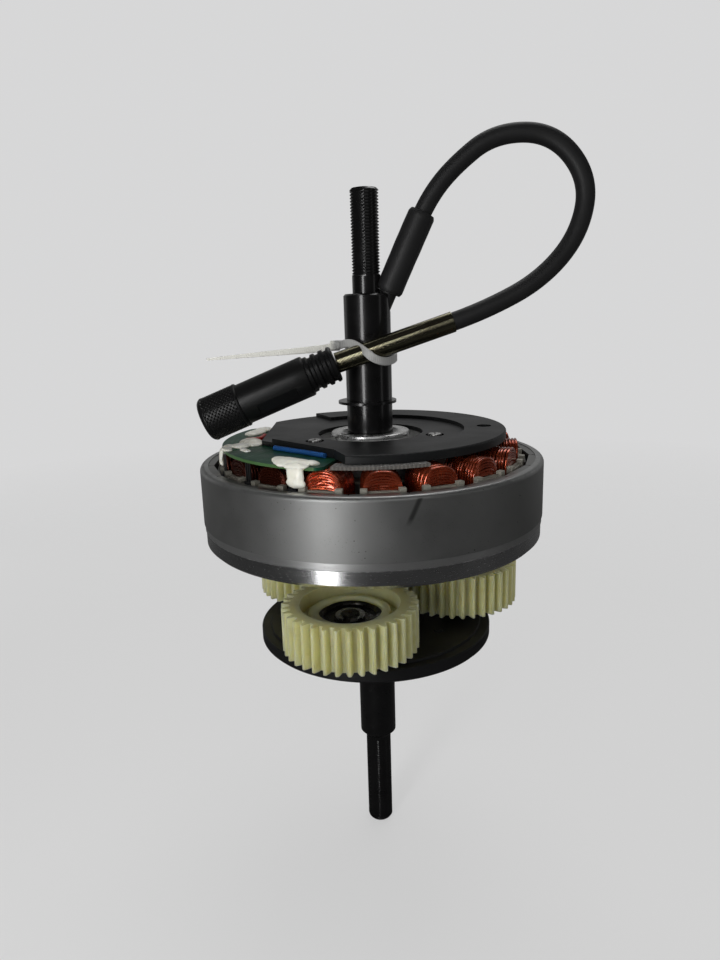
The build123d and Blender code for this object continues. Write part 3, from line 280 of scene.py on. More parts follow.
# The dish's upper band is matt and its lower one polished, with nicks along the step between them
def turnedAluminium():
    finish = Finish("turnedAluminium", {})
    z = finish.axes()[2]
    lines = finish.turning(4200.0)
    cloud = finish.noise(90.0, 4.0)
    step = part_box("rotor_cover")[0].z + cover["stepHeight"] * millimetre
    matt = finish.between(z + cloud * 0.0004, step, step + cover["stepFade"] * millimetre)
    nicks = finish.patches(0.5, 0.62, 700.0, 4.0, 0.7)
    narrow, wide = (width * millimetre for width in cover["nickWidths"])
    line = finish.between((z - step).size(), narrow, wide, 1.0, 0.0) * nicks
    scratch = finish.between(finish.noise(60.0, 6.0, 0.7, finish.mapped((9.0, 9.0, 60.0))), 0.6, 0.7)
    colour = finish.mix(cloud, (0.5, 0.502, 0.505), (0.66, 0.662, 0.665))
    colour = finish.mix(matt * 0.8, colour, (0.3, 0.302, 0.3))
    colour = finish.mix(scratch * 0.5, colour, (0.16, 0.16, 0.16))
    colour = finish.mix(line, colour, (0.75, 0.75, 0.75))
    rough = finish.spread(lines, 0.15, 0.25) + scratch * 0.15 + matt * 0.15
    normal = finish.bump(lines, 0.000012, 0.6, finish.bump(scratch, 0.00001, 0.5))
    return finish.wear(colour=colour, rough=rough, metal=1.0 - matt * 0.16, normal=normal)


def castAluminium():
    finish = Finish("castAluminium", {"Metallic": 0.35})
    grain = finish.noise(900.0, 4.0, 0.65)
    cloud = finish.noise(70.0, 3.0)
    colour = finish.mix(cloud, (0.6, 0.6, 0.59), (0.8, 0.8, 0.79))
    normal = finish.bump(grain, 0.00004, 0.4)
    return finish.wear(colour=colour, rough=finish.spread(grain, 0.42, 0.6), normal=normal)


def plateBlack():
    finish = Finish("plateBlack", {"Specular IOR Level": 0.26, "Metallic": 0.05})
    grain = finish.noise(2200.0, 3.0, 0.6)
    cloud = finish.noise(60.0, 4.0)
    dust = finish.marks(900.0, 0.06, 0.12) * finish.patches(0.5, 0.65, 150.0)
    colour = finish.mix(cloud, (0.008, 0.0085, 0.009), (0.014, 0.0145, 0.015))
    colour = finish.mix(dust * 0.5, colour, (0.12, 0.12, 0.11))
    rough = finish.spread(cloud, 0.36, 0.46)
    normal = finish.bump(grain, 0.00002, 0.4)
    return finish.wear(colour=colour, rough=rough, normal=normal)


def carrierBlack():
    finish = Finish("carrierBlack", {"Specular IOR Level": 0.33, "Metallic": 0.1})
    grain = finish.noise(1700.0, 4.0, 0.6)
    cloud = finish.noise(80.0, 4.0)
    lines = finish.turning(2600.0)
    colour = finish.mix(cloud, (0.006, 0.006, 0.0065), (0.012, 0.012, 0.0125))
    rough = finish.spread(cloud, 0.4, 0.52)
    normal = finish.bump(lines, 0.00002, 0.4, finish.bump(grain, 0.00002, 0.4))
    return finish.wear(colour=colour, rough=rough, normal=normal)


stator = {
    "sheet": 0.5,
    "posts": (110.6, 111.2),  # the insulator's posts are brighter above this height
    # Angles round the axis between which the painted shade from the board fades in and out
    "boardShadeStart": (-2.12, -1.98),
    "boardShadeEnd": (2.7, 3.1),
}


def lamination():
    finish = Finish("lamination", {"Metallic": 0.75})
    z = finish.axes()[2]
    sheets = (z * (2 * math.pi / (stator["sheet"] * millimetre))).wave()
    cloud = finish.noise(200.0, 4.0)
    colour = finish.mix(cloud, (0.11, 0.105, 0.1), (0.2, 0.19, 0.175))
    colour = finish.mix(finish.between(sheets, 0.75, 1.0) * 0.7, colour, (0.03, 0.028, 0.026))
    normal = finish.bump(sheets, 0.00004, 0.6)
    return finish.wear(colour=colour, rough=finish.spread(cloud, 0.38, 0.55), normal=normal)


# 1 on the side of the stator that lies under the board, where the coils and insulators are darkened as
# painted shade from the board
def boardShade(finish):
    angle = finish.polar()[1]
    first, last = stator["boardShadeStart"], stator["boardShadeEnd"]
    return finish.between(angle, *first, 1.0, 0.0) + finish.between(angle, *last)


def insulatorWhite():
    finish = Finish("insulatorWhite", {"Roughness": 0.42})
    cloud = finish.noise(240.0, 4.0)
    soil = finish.patches(0.55, 0.78, 420.0, 5.0, 0.7)
    foot, top = (height * millimetre for height in stator["posts"])
    posts = finish.between(finish.axes()[2], foot, top)
    colour = finish.mix(cloud, (0.2, 0.19, 0.16), (0.32, 0.305, 0.26))
    colour = finish.mix(posts, colour, (0.34, 0.33, 0.28))
    colour = finish.mix(soil * 0.6, colour, (0.13, 0.11, 0.08))
    # Painted shade from the board darkens the insulators under it
    colour = finish.mix(boardShade(finish) * 0.5, colour, (0.05, 0.045, 0.035))
    normal = finish.bump(finish.noise(1800.0), 0.00002, 0.4)
    return finish.wear(colour=colour, normal=normal)


def enamelCopper():
    finish = Finish("enamelCopper", {"Metallic": 0.8, "Coat Roughness": 0.05})
    cloud = finish.noise(180.0, 3.0)
    fine = finish.noise(1400.0, 3.0)
    colour = finish.mix(cloud, (0.2, 0.022, 0.009), (0.72, 0.13, 0.045))
    colour = finish.mix(finish.between(fine, 0.55, 0.8) * 0.5, colour, (0.05, 0.004, 0.002))
    # Painted shade from the board: the coils under it are darkened and lose most of their coat
    dark = boardShade(finish)
    colour = finish.mix(dark * 0.85, colour, (0.02, 0.006, 0.004))
    normal = finish.bump(fine, 0.00002, 0.3)
    coat = finish.between(dark, 0.0, 1.0, 1.0, 0.15)
    rough = finish.spread(fine, 0.16, 0.3)
    return finish.wear(colour=colour, rough=rough, normal=normal, coat=coat)


# Copper painted near black: painted shade for the coils' inner form, between and under the outer turns
def shadedCopper():
    finish = Finish("shadedCopper", {"Metallic": 0.3})
    fine = finish.noise(900.0, 4.0)
    colour = finish.mix(fine, (0.02, 0.003, 0.0015), (0.07, 0.012, 0.006))
    normal = finish.bump(fine, 0.0001, 0.6)
    return finish.wear(colour=colour, rough=finish.spread(fine, 0.45, 0.65), normal=normal)


board = {"trackPitch": 1.9, "breaks": 23.0, "edge": (65.0, 65.1)}


def boardGreen():
    finish = Finish("boardGreen", {"Specular IOR Level": 0.15})
    radius, angle = finish.polar()[:2]
    cloud = finish.noise(150.0, 3.0)
    tracks = (radius * (2 * math.pi / (board["trackPitch"] * millimetre))).wave()
    breaks = finish.between((angle * board["breaks"]).wave(), 0.55, 0.7, 1.0, 0.0)
    track = finish.between(tracks, 0.3, 0.5) * breaks
    inner, outer = (edge * millimetre for edge in board["edge"])
    outside = finish.between(radius, inner, outer)
    colour = finish.mix(cloud, (0.004, 0.036, 0.02), (0.01, 0.062, 0.034))
    colour = finish.mix(track * 0.5, colour, (0.02, 0.12, 0.055))
    colour = finish.mix(outside * 0.8, colour, (0.08, 0.16, 0.055))
    normal = finish.bump(track, 0.00004, 0.6)
    return finish.wear(colour=colour, rough=finish.spread(cloud, 0.3, 0.42), normal=normal)


plastics = {
    # Dark and light colour, roughness, scale and depth of the grain, specular level
    "sensorBlack": ((0.01, 0.01, 0.01), (0.02, 0.02, 0.021), 0.45, 1800.0, 0.00002, 0.45),
    "leadBlue": ((0.01, 0.07, 0.24), (0.018, 0.1, 0.32), 0.35, 1500.0, 0.00002, 0.45),
    "leadRed": ((0.3, 0.015, 0.01), (0.42, 0.03, 0.02), 0.35, 1500.0, 0.00002, 0.45),
    "connectorBlack": ((0.004, 0.004, 0.004), (0.008, 0.008, 0.0082), 0.34, 1500.0, 0.00006, 0.3),
}


def plasticFinish(name):
    dark, light, rough, grainScale, grainDepth, specular = plastics[name]
    finish = Finish(name, {"Specular IOR Level": specular})
    cloud = finish.noise(120.0, 4.0)
    grain = finish.noise(grainScale, 3.0, 0.6)
    colour = finish.mix(cloud, dark, light)
    worn = finish.spread(grain, rough - 0.05, rough + 0.07)
    return finish.wear(colour=colour, rough=worn, normal=finish.bump(grain, grainDepth, 0.5))


weaving = {"round": 130.0, "along": 5200.0}


def sleevingGrey():
    finish = Finish("sleevingGrey", {"Sheen Weight": 0.3})
    radius, angle = finish.polar()[:2]
    across, along = angle * weaving["round"], radius * weaving["along"]
    weave = (across + along).wave() * (across - along).wave()
    cloud = finish.noise(200.0, 4.0)
    colour = finish.mix(finish.between(weave, -1.0, 1.0), (0.06, 0.055, 0.05), (0.2, 0.185, 0.165))
    colour = finish.mix(cloud * 0.4, colour, (0.09, 0.085, 0.08))
    normal = finish.bump(weave, 0.0002, 0.8)
    return finish.wear(colour=colour, rough=finish.spread(cloud, 0.7, 0.85), normal=normal)


def siliconeWhite():
    settings = {"Roughness": 0.32, "Subsurface Weight": 0.2, "Subsurface Scale": 0.002, "Coat Weight": 0.2}
    settings["Subsurface Radius"] = (1.0, 0.9, 0.75)
    finish = Finish("siliconeWhite", settings)
    cloud = finish.noise(170.0, 4.0)
    soil = finish.patches(0.56, 0.8, 500.0, 5.0, 0.7)
    leftEnd = finish.between(finish.polar()[1], -2.95, -2.8, 1.0, 0.0)
    dirty = leftEnd * finish.patches(0.35, 0.6, 300.0, 4.0)
    colour = finish.mix(cloud, (0.88, 0.86, 0.74), (0.97, 0.96, 0.87))
    colour = finish.mix(soil * 0.35, colour, (0.45, 0.38, 0.24))
    colour = finish.mix(dirty * 0.6, colour, (0.3, 0.26, 0.18))
    return finish.wear(colour=colour, normal=finish.bump(finish.noise(900.0, 3.0), 0.00008, 0.5))


def cableBlack():
    finish = Finish("cableBlack", {"Specular IOR Level": 0.4})
    cloud = finish.noise(110.0, 4.0)
    grain = finish.noise(2400.0, 4.0, 0.65)
    dust = finish.patches(0.6, 0.8, 900.0, 5.0, 0.7)
    colour = finish.mix(cloud, (0.009, 0.009, 0.0095), (0.016, 0.016, 0.0165))
    colour = finish.mix(dust * 0.3, colour, (0.05, 0.048, 0.045))
    normal = finish.bump(grain, 0.00003, 0.5)
    return finish.wear(colour=colour, rough=finish.spread(grain, 0.44, 0.6), normal=normal)


def springSteel():
    finish = Finish("springSteel", {"Metallic": 1.0})
    cloud = finish.noise(1300.0, 3.0)
    colour = finish.mix(cloud, (0.24, 0.225, 0.15), (0.3, 0.285, 0.195))
    colour = finish.mix(finish.patches(0.5, 0.7, 90.0) * 0.3, colour, (0.16, 0.12, 0.07))
    return finish.wear(colour=colour, rough=finish.spread(cloud, 0.13, 0.17))


def contactGold():
    finish = Finish("contactGold", {"Metallic": 1.0})
    cloud = finish.noise(700.0, 3.0)
    colour = finish.mix(cloud, (0.7, 0.46, 0.14), (0.85, 0.62, 0.26))
    normal = finish.bump(cloud, 0.00001, 0.3)
    return finish.wear(colour=colour, rough=finish.spread(cloud, 0.18, 0.3), normal=normal)


tieMarks = {"teethPitch": 0.8, "teethSlant": 900.0, "tail": (-16.0, -14.0)}


def tieNylon():
    finish = Finish("tieNylon", {"Roughness": 0.35, "Coat Weight": 0.15})
    x, z = finish.axes()[::2]
    teethPitch = tieMarks["teethPitch"] * millimetre
    teeth = (x * (2 * math.pi / teethPitch) - z * tieMarks["teethSlant"]).wave()
    cloud = finish.noise(200.0, 4.0)
    tailEnd, tailStart = (place * millimetre for place in tieMarks["tail"])
    tail = finish.between(x, tailEnd, tailStart, 1.0, 0.0)
    colour = finish.mix(cloud, (0.37, 0.37, 0.36), (0.5, 0.5, 0.49))
    colour = finish.mix(tail, colour, (0.9, 0.89, 0.82))
    normal = finish.bump(teeth, 0.0001, 0.6, finish.bump(cloud, 0.00004, 0.4))
    return finish.wear(colour=colour, normal=normal)


def gearNylon():
    settings = {"Subsurface Weight": 0.95, "Subsurface Scale": 0.011, "Specular IOR Level": 0.4}
    settings["Subsurface Radius"] = (1.0, 0.85, 0.5)
    finish = Finish("gearNylon", settings)
    cloud = finish.noise(60.0, 4.0)
    fine = finish.noise(1100.0, 4.0)
    # Grease: darker, glossier patches on the nylon
    darkened = finish.patches(0.52, 0.75, 130.0, 5.0, 0.65)
    colour = finish.mix(cloud, (0.5, 0.49, 0.25), (0.6, 0.59, 0.33))
    colour = finish.mix(darkened * 0.4, colour, (0.33, 0.31, 0.12))
    normal = finish.bump(fine, 0.00003, 0.4)
    return finish.wear(colour=colour, rough=finish.between(darkened, 0.0, 1.0, 0.4, 0.28), normal=normal)


# Steel deep inside the planet gears, painted near black as the shade in their bores, with darker, glossier
# patches
def boreShadeSteel():
    finish = Finish("boreShadeSteel", {"Metallic": 0.9})
    cloud = finish.noise(260.0, 4.0)
    mottle = finish.patches(0.45, 0.7, 500.0, 4.0)
    colour = finish.mix(cloud, (0.02, 0.019, 0.017), (0.05, 0.048, 0.044))
    colour = finish.mix(mottle * 0.5, colour, (0.012, 0.01, 0.007))
    normal = finish.bump(cloud, 0.00003, 0.4)
    return finish.wear(colour=colour, rough=finish.between(mottle, 0.0, 1.0, 0.32, 0.2), normal=normal)


def magnetNickel():
    finish = Finish("magnetNickel", {"Metallic": 1.0})
    cloud = finish.noise(220.0, 4.0)
    colour = finish.mix(cloud, (0.16, 0.16, 0.155), (0.28, 0.28, 0.27))
    normal = finish.bump(cloud, 0.00003, 0.4)
    return finish.wear(colour=colour, rough=finish.spread(cloud, 0.3, 0.45), normal=normal)


print("finishes")
finishes = {
    "axle_steel": axleSteel(),
    "bright_steel": brightSteel(),
    "ring_steel": ringSteel(),
    "turned_aluminium": turnedAluminium(),
    "cast_aluminium": castAluminium(),
    "plate_black": plateBlack(),
    "carrier_black": carrierBlack(),
    "lamination": lamination(),
    "insulator_white": insulatorWhite(),
    "copper": enamelCopper(),
    "board_green": boardGreen(),
    "sensor_black": plasticFinish("sensorBlack"),
    "lead_blue": plasticFinish("leadBlue"),
    "lead_red": plasticFinish("leadRed"),
    "sleeving_grey": sleevingGrey(),
    "silicone": siliconeWhite(),
    "cable_black": cableBlack(),
    "spring_steel": springSteel(),
    "connector_black": plasticFinish("connectorBlack"),
    "contact_gold": contactGold(),
    "tie_white": tieNylon(),
    "gear_nylon": gearNylon(),
    "magnet_nickel": magnetNickel(),
}
coreShadeCopper = shadedCopper()
paintedBoreShade = boreShadeSteel()


def dressNode(node, finish):
    mesh = nodes[node].data
    mesh.materials.clear()
    mesh.materials.append(finish)


# A finished mesh becomes a piece that rides on its body
def makePiece(name, mesh, body, slot, replaced=(), angle=35.0, material=None):
    mesh.materials.clear()
    mesh.materials.append(material or finishes[slot])
    mesh.shade_smooth()
    mesh.set_sharp_from_angle(angle=math.radians(angle))
    piece = bpy.data.objects.new(name, mesh)
    scene.collection.objects.link(piece)
    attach(piece, body)
    if replaced:
        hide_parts(*replaced)
    return piece


def meshFrom(shape, name):
    bmesh.ops.remove_doubles(shape, verts=shape.verts, dist=1e-7)
    bmesh.ops.recalc_face_normals(shape, faces=shape.faces)
    mesh = bpy.data.meshes.new(name)
    shape.to_mesh(mesh)
    shape.free()
    return mesh


def mergedCopy(node):
    shape = bmesh.new()
    shape.from_mesh(nodes[node].data)
    bmesh.ops.remove_doubles(shape, verts=shape.verts, dist=2e-6)
    return shape


# Round walls are shaded by their true direction, because their long triangles would shade in streaks
def shadeRound(mesh):
    ways = []
    for face in mesh.polygons:
        for corner in face.vertices:
            out = mesh.vertices[corner].co.to_2d().normalized()
            wall = abs(face.normal.z) < 0.05 and out.dot(face.normal.to_2d()) > 0.97
            ways.append((out.x, out.y, 0.0) if wall else (0.0, 0.0, 0.0))
    mesh.normals_split_custom_set(ways)


def everything(shape):
    return list(shape.verts) + list(shape.edges) + list(shape.faces)


# A profile's corners (radius, height) and the edges between them, ready to be spun
def outline(shape, profile, closed=False):
    corners = [shape.verts.new((radius * millimetre, 0.0, height * millimetre)) for radius, height in profile]
    following = corners[1:] + corners[:1] if closed else corners[1:]
    return corners + [shape.edges.new(pair) for pair in zip(corners, following)]


def spunOnce(profile, steps, closed=False):
    shape = bmesh.new()
    bmesh.ops.spin(shape, geom=outline(shape, profile, closed), cent=(0, 0, 0), axis=(0, 0, 1),
                   angle=2 * math.pi, steps=steps, use_merge=True)
    return shape


# The mesh that an object's modifiers or bevel give, with the object removed
def settled(holder):
    bpy.context.view_layer.update()
    graph = bpy.context.evaluated_depsgraph_get()
    mesh = bpy.data.meshes.new_from_object(holder.evaluated_get(graph))
    bpy.data.objects.remove(holder)
    return mesh


print("floor, lights and camera")
studio = {
    "cameraPlace": (0.0, -0.3154, 0.1755),
    "pitch": 13.57,
    "yaw": -0.963,
    "roll": -1.786,
    "lens": 26.863,
    "background": 0.68,
    # What metal mirrors, from behind the camera to behind the motor: direction along Y, brightness
    "mirrored": ((-1.0, 0.02), (0.0, 0.03), (0.5, 0.07), (0.8, 0.16), (1.0, 0.28)),
    "skyLight": 0.34,
    "floorSize": 3.0,
    "floorFade": (0.35, 1.1),
    "floorColour": 0.3,
    "floorGlow": 0.46,  # what the camera sees besides the floor's own shading
    "floorMirrored": 0.07,  # the floor as metal mirrors it
}


def setCamera():
    pitch, yaw, roll = (math.radians(studio[key]) for key in ("pitch", "yaw", "roll"))
    heading = Vector((math.sin(yaw) * math.cos(pitch), math.cos(yaw) * math.cos(pitch), -math.sin(pitch)))
    sideways = Vector((math.cos(yaw), -math.sin(yaw), 0.0))
    upward = sideways.cross(heading)
    right = sideways * math.cos(roll) + upward * math.sin(roll)
    top = upward * math.cos(roll) - sideways * math.sin(roll)
    lens = bpy.data.cameras.new("camera")
    lens.lens = studio["lens"]
    lens.clip_start = 0.01
    camera = bpy.data.objects.new("camera", lens)
    scene.collection.objects.link(camera)
    turned = Matrix((right, top, -heading)).transposed().to_4x4()
    camera.matrix_world = Matrix.Translation(studio["cameraPlace"]) @ turned
    scene.camera = camera


def setWorld():
    world = bpy.data.worlds.new("studio")
    scene.world = world
    world.use_nodes = True
    tree = world.node_tree
    tree.nodes.clear()
    output = tree.nodes.new("ShaderNodeOutputWorld")
    path = tree.nodes.new("ShaderNodeLightPath")
    seen = tree.nodes.new("ShaderNodeBackground")
    mirrored = tree.nodes.new("ShaderNodeBackground")
    lighting = tree.nodes.new("ShaderNodeBackground")
    coords = tree.nodes.new("ShaderNodeTexCoord")
    split = tree.nodes.new("ShaderNodeSeparateXYZ")
    lift = tree.nodes.new("ShaderNodeMapRange")
    fade = tree.nodes.new("ShaderNodeValToRGB")
    grey = studio["background"]
    seen.inputs[0].default_value = (grey, grey, grey * 1.005, 1.0)
    lighting.inputs[0].default_value = (1.0, 1.0, 1.0, 1.0)
    lighting.inputs[1].default_value = studio["skyLight"]
    tree.links.new(coords.outputs["Generated"], split.inputs[0])
    tree.links.new(split.outputs[1], lift.inputs[0])
    lift.inputs[1].default_value = -1.0
    tree.links.new(lift.outputs[0], fade.inputs[0])
    stops = fade.color_ramp.elements
    while len(stops) < len(studio["mirrored"]):
        stops.new(0.5)
    for stop, (along, light) in zip(stops, studio["mirrored"]):
        stop.position = (along + 1.0) / 2.0
        stop.color = (light, light, light, 1.0)
    tree.links.new(fade.outputs[0], mirrored.inputs[0])
    shader = lighting
    for ray, other in (("Is Glossy Ray", mirrored), ("Is Transmission Ray", seen), ("Is Camera Ray", seen)):
        mixer = tree.nodes.new("ShaderNodeMixShader")
        tree.links.new(path.outputs[ray], mixer.inputs[0])
        tree.links.new(shader.outputs[0], mixer.inputs[1])
        tree.links.new(other.outputs[0], mixer.inputs[2])
        shader = mixer
    tree.links.new(shader.outputs[0], output.inputs[0])


lamps = {
    # Direction round the axis and rise in degrees, distance, width, height, power, spread
    "keyLamp": (-27.0, 6.8, 0.42, 0.085, 0.4, 0.44, 130.0),
    "fillLamp": (66.0, 7.0, 0.6, 0.09, 0.4, 0.05, 180.0),
    "rightRimLamp": (122.0, 8.0, 0.6, 0.12, 0.4, 0.04, 180.0),
    "leftRimLamp": (-128.0, 8.0, 0.6, 0.12, 0.4, 0.04, 180.0),
    "roomLamp": (15.0, 30.0, 0.9, 0.6, 0.5, 0.35, 180.0),
    "topLamp": (165.0, 62.0, 1.2, 0.8, 0.8, 3.6, 180.0),
}
lampTarget = Vector((0.0, 0.0, 0.08))


# A soft box that faces the motor
def addLamp(name, azimuth, rise, distance, width, height, power, spread):
    lamp = bpy.data.lights.new(name, "AREA")
    lamp.shape = "RECTANGLE"
    lamp.size = width
    lamp.size_y = height
    lamp.energy = power
    lamp.spread = math.radians(spread)
    holder = bpy.data.objects.new(name, lamp)
    scene.collection.objects.link(holder)
    turn, lift = math.radians(azimuth), math.radians(rise)
    way = Vector((math.sin(turn) * math.cos(lift), -math.cos(turn) * math.cos(lift), math.sin(lift)))
    turned = way.to_track_quat("Z", "Y").to_matrix().to_4x4()
    holder.matrix_world = Matrix.Translation(lampTarget + way * distance) @ turned


def addFloor():
    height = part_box("axle")[0].z
    shape = bmesh.new()
    bmesh.ops.create_circle(shape, cap_ends=True, segments=96, radius=studio["floorSize"])
    bmesh.ops.translate(shape, vec=(0.0, 0.0, height), verts=shape.verts)
    mesh = bpy.data.meshes.new("floor")
    shape.to_mesh(mesh)
    shape.free()
    floor = bpy.data.objects.new("floor", mesh)
    scene.collection.objects.link(floor)
    finish = Finish("floorPale", {"Roughness": 0.9, "Specular IOR Level": 0.1})
    pale, paler = ((studio["floorColour"] * share,) * 3 for share in (1.0, 1.02))
    colour = finish.mix(finish.noise(3.0, 2.0), pale, paler)
    alpha = finish.between(finish.polar()[0], studio["floorFade"][0], studio["floorFade"][1], 1.0, 0.0)
    finish.feed(finish.shader.inputs["Alpha"], alpha)
    path = finish.node("LightPath", {}, {})
    rays = path.socket.node.outputs
    seen = Wire(finish, rays["Is Camera Ray"]) + Wire(finish, rays["Is Transmission Ray"])
    glow = finish.mix(seen, (0.0, 0.0, 0.0), (studio["floorGlow"],) * 3)
    finish.feed(finish.shader.inputs["Emission Color"], glow)
    finish.feed(finish.shader.inputs["Emission Strength"], 1.0)
    colour = finish.mix(Wire(finish, rays["Is Glossy Ray"]), colour, (studio["floorMirrored"],) * 3)
    mesh.materials.append(finish.wear(colour=colour))


setCamera()
setWorld()
addFloor()
for lampName, lampValues in lamps.items():
    addLamp(lampName, *lampValues)

print("cable")
cable = {
    "radius": 3.8,
    "length": 267.1,
    "exit": (3.0, 0.0, 168.0),
    # The route of part.py, with one more point beside each end's long straight run
    "route": [
        (3.0, 0.0, 168.0),
        (20.3, -1.9, 205.2),
        (27.0, -2.6, 218.7),
        (36.5, -3.4, 229.6),
        (52.5, -5.4, 241.3),
        (75.5, -7.4, 240.4),
        (89.8, -9.5, 222.5),
        (86.2, -11.2, 201.3),
        (71.0, -12.8, 184.0),
        (48.0, -14.4, 172.6),
        (23.3, -14.4, 164.7),
        (-13.1, -14.5, 153.2),
    ],
}


def makeCable():
    line = bpy.data.curves.new("cable_line", "CURVE")
    line.dimensions = "3D"
    spline = line.splines.new("NURBS")
    spline.points.add(len(cable["route"]) - 1)
    for point, place in zip(spline.points, cable["route"]):
        point.co = (*(Vector(place) * millimetre), 1.0)
    spline.order_u = 3
    spline.use_endpoint_u = True
    spline.resolution_u = 24
    piece = bpy.data.objects.new("cable_line", line)
    scene.collection.objects.link(piece)
    path = [vertex.co.copy() for vertex in bpy.data.meshes.new_from_object(piece).vertices]
    line.bevel_depth = cable["radius"] * millimetre
    line.bevel_resolution = 10
    line.use_fill_caps = True
    line.materials.append(finishes["cable_black"])
    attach(piece, "axle")
    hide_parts("cable")
    return piece, path


# Places on the cable's line at even steps between two distances from its start
def alongPath(path, start, end, count):
    reach = [0.0]
    for here, there in zip(path, path[1:]):
        reach.append(reach[-1] + (there - here).length)
    places = []
    for number in range(count):
        wanted = start + (end - start) * number / (count - 1)
        index = 0
        while index < len(path) - 2 and reach[index + 1] < wanted:
            index += 1
        share = (wanted - reach[index]) / (reach[index + 1] - reach[index])
        places.append(path[index].lerp(path[index + 1], share))
    return places, reach[-1]


# A tube round a list of places, with a radius for each
def tubeMesh(name, places, radii, sides):
    line = bpy.data.curves.new(name, "CURVE")
    line.dimensions = "3D"
    addSpline(line, places, radii)
    line.bevel_depth = 1.0
    line.bevel_resolution = sides
    line.use_fill_caps = True
    holder = bpy.data.objects.new(name, line)
    scene.collection.objects.link(holder)
    return settled(holder)


def addSpline(line, places, radii, cyclic=False, kind="POLY", resolution=3):
    spline = line.splines.new(kind)
    spline.points.add(len(places) - 1)
    for point, place, radius in zip(spline.points, places, radii):
        point.co = (*place, 1.0)
        point.radius = radius
    if kind == "NURBS":
        spline.order_u = 3
        spline.use_endpoint_u = not cyclic
        spline.resolution_u = resolution
    spline.use_cyclic_u = cyclic


sleeve = {
    "start": 14.6,
    "length": 34.8,
    "radius": 5.78,
    "ripple": 0.05,
    "waves": (19.0, 7.0),
    "lip": 0.12,  # how much thinner it is at its two ends
    "lipSlope": 28.0,
    "places": 48,
    "sides": 8,
}


def makeSleeve(path):
    start = sleeve["start"] * millimetre
    places = alongPath(path, start, start + sleeve["length"] * millimetre, sleeve["places"])[0]
    first, second = sleeve["waves"]
    radii = []
    for number in range(len(places)):
        share = number / (len(places) - 1)
        lip = 1.0 - sleeve["lip"] * max(0.0, 1.0 - min(share, 1.0 - share) * sleeve["lipSlope"])
        ripple = sleeve["ripple"] * math.sin(share * first) * math.sin(share * second + 1.0)
        radii.append((sleeve["radius"] * lip + ripple) * millimetre)
    mesh = tubeMesh("shrink_sleeve", places, radii, sleeve["sides"])
    return makePiece("shrink_sleeve", mesh, "axle", "cable_black", ["cable_sleeve"])


spring = {"length": 50.6, "inner": 3.85, "radius": 4.3, "groove": 0.05, "pitch": 0.55, "steps": 40}


# A close-wound flat wire round the cable's last straight stretch, with a fine groove between its turns
def makeSpring(path):
    total = alongPath(path, 0.0, 1.0, 2)[1]
    start, end = alongPath(path, total - spring["length"] * millimetre, total, 2)[0]
    inner, outer = spring["inner"], spring["radius"]
    groove = outer - spring["groove"]
    profile = [(inner, 0.0)]
    turns = int(spring["length"] / spring["pitch"])
    for number in range(turns):
        low = spring["length"] * number / turns
        profile += [(groove, low), (outer, low + 0.2 * spring["pitch"]), (outer, low + 0.8 * spring["pitch"])]
    profile += [(groove, spring["length"]), (inner, spring["length"])]
    shape = spunOnce(profile, spring["steps"], True)
    way = (end - start).normalized()
    bmesh.ops.transform(shape, matrix=way.to_track_quat("Z", "Y").to_matrix().to_4x4(), verts=shape.verts)
    bmesh.ops.translate(shape, vec=start, verts=shape.verts)
    mesh = meshFrom(shape, "bend_spring")
    return makePiece("bend_spring", mesh, "axle", "spring_steel", ["cable_spring"], 60.0)


connector = {
    "direction": (-52.6, -2.5, -20.9),
    "start": 0.35,
    "bootRadius": 7.6,
    "bootLength": 12.6,
    "grooves": 3,
    "grooveDepth": 0.9,
    "bodyRadius": 8.6,
    "bodyLength": 30.0,
    "collarRadius": 9.4,
    "collarLength": 17.4,
    "mouthRadius": 6.9,
    "mouthDepth": 9.0,
    "knurlRows": 35,
    "knurlStart": 1.0,
    "knurlEnd": 15.5,
    "knurlDepth": 0.5,
    "diamondSteps": 4,
    "steps": 120,
    "panelLength": 18.0,
    "panelWidth": 8.0,
    "panelDepth": 0.5,
    "panelInset": 0.25,
    "panelWall": 8.2,  # faces further out than this are the body's wall
    "panelWay": (-0.2, -0.75, -0.6),
}


def connectorProfile():
    boot, body = connector["bootRadius"], connector["bodyRadius"]
    collar, mouth = connector["collarRadius"], connector["mouthRadius"]
    rib = connector["bootLength"] / (2 * connector["grooves"] + 1)
    profile = [(0.0, 0.0), (4.4, 0.0), (boot - 1.0, 0.0), (boot - 0.3, 0.3), (boot, 1.0)]
    for number in range(connector["grooves"]):
        low = (2 * number + 1) * rib
        depth = connector["grooveDepth"]
        profile += [(boot, low - 0.25), (boot - 0.25, low), (boot - depth, low + 0.35)]
        profile += [(boot - depth, low + rib - 0.35), (boot - 0.25, low + rib), (boot, low + rib + 0.25)]
    bodyStart = connector["bootLength"]
    bodyEnd = bodyStart + connector["bodyLength"]
    length = bodyEnd + connector["collarLength"]
    profile += [(boot, bodyStart - 0.1), (body - 0.6, bodyStart), (body - 0.15, bodyStart + 0.25)]
    profile += [(body, bodyStart + 0.8), (body, bodyEnd - 0.1), (collar - 0.5, bodyEnd)]
    profile += [(collar - 0.1, bodyEnd + 0.3), (collar, bodyEnd + 0.8)]
    rows = connector["knurlRows"]
    rowHeight = (connector["knurlEnd"] - connector["knurlStart"]) / rows
    knurl = [bodyEnd + connector["knurlStart"] + row * rowHeight for row in range(rows + 1)]
    profile += [(collar, height) for height in knurl]
    profile += [(collar, length - 1.7), (collar - 0.2, length - 1.2)]
    profile += [(collar - 0.6, length - 0.6), (collar - 1.1, length - 0.15), (collar - 1.45, length)]
    profile += [(mouth + 0.2, length), (mouth, length - 0.2), (mouth, length - connector["mouthDepth"])]
    profile += [(0.0, length - connector["mouthDepth"])]
    return profile, knurl


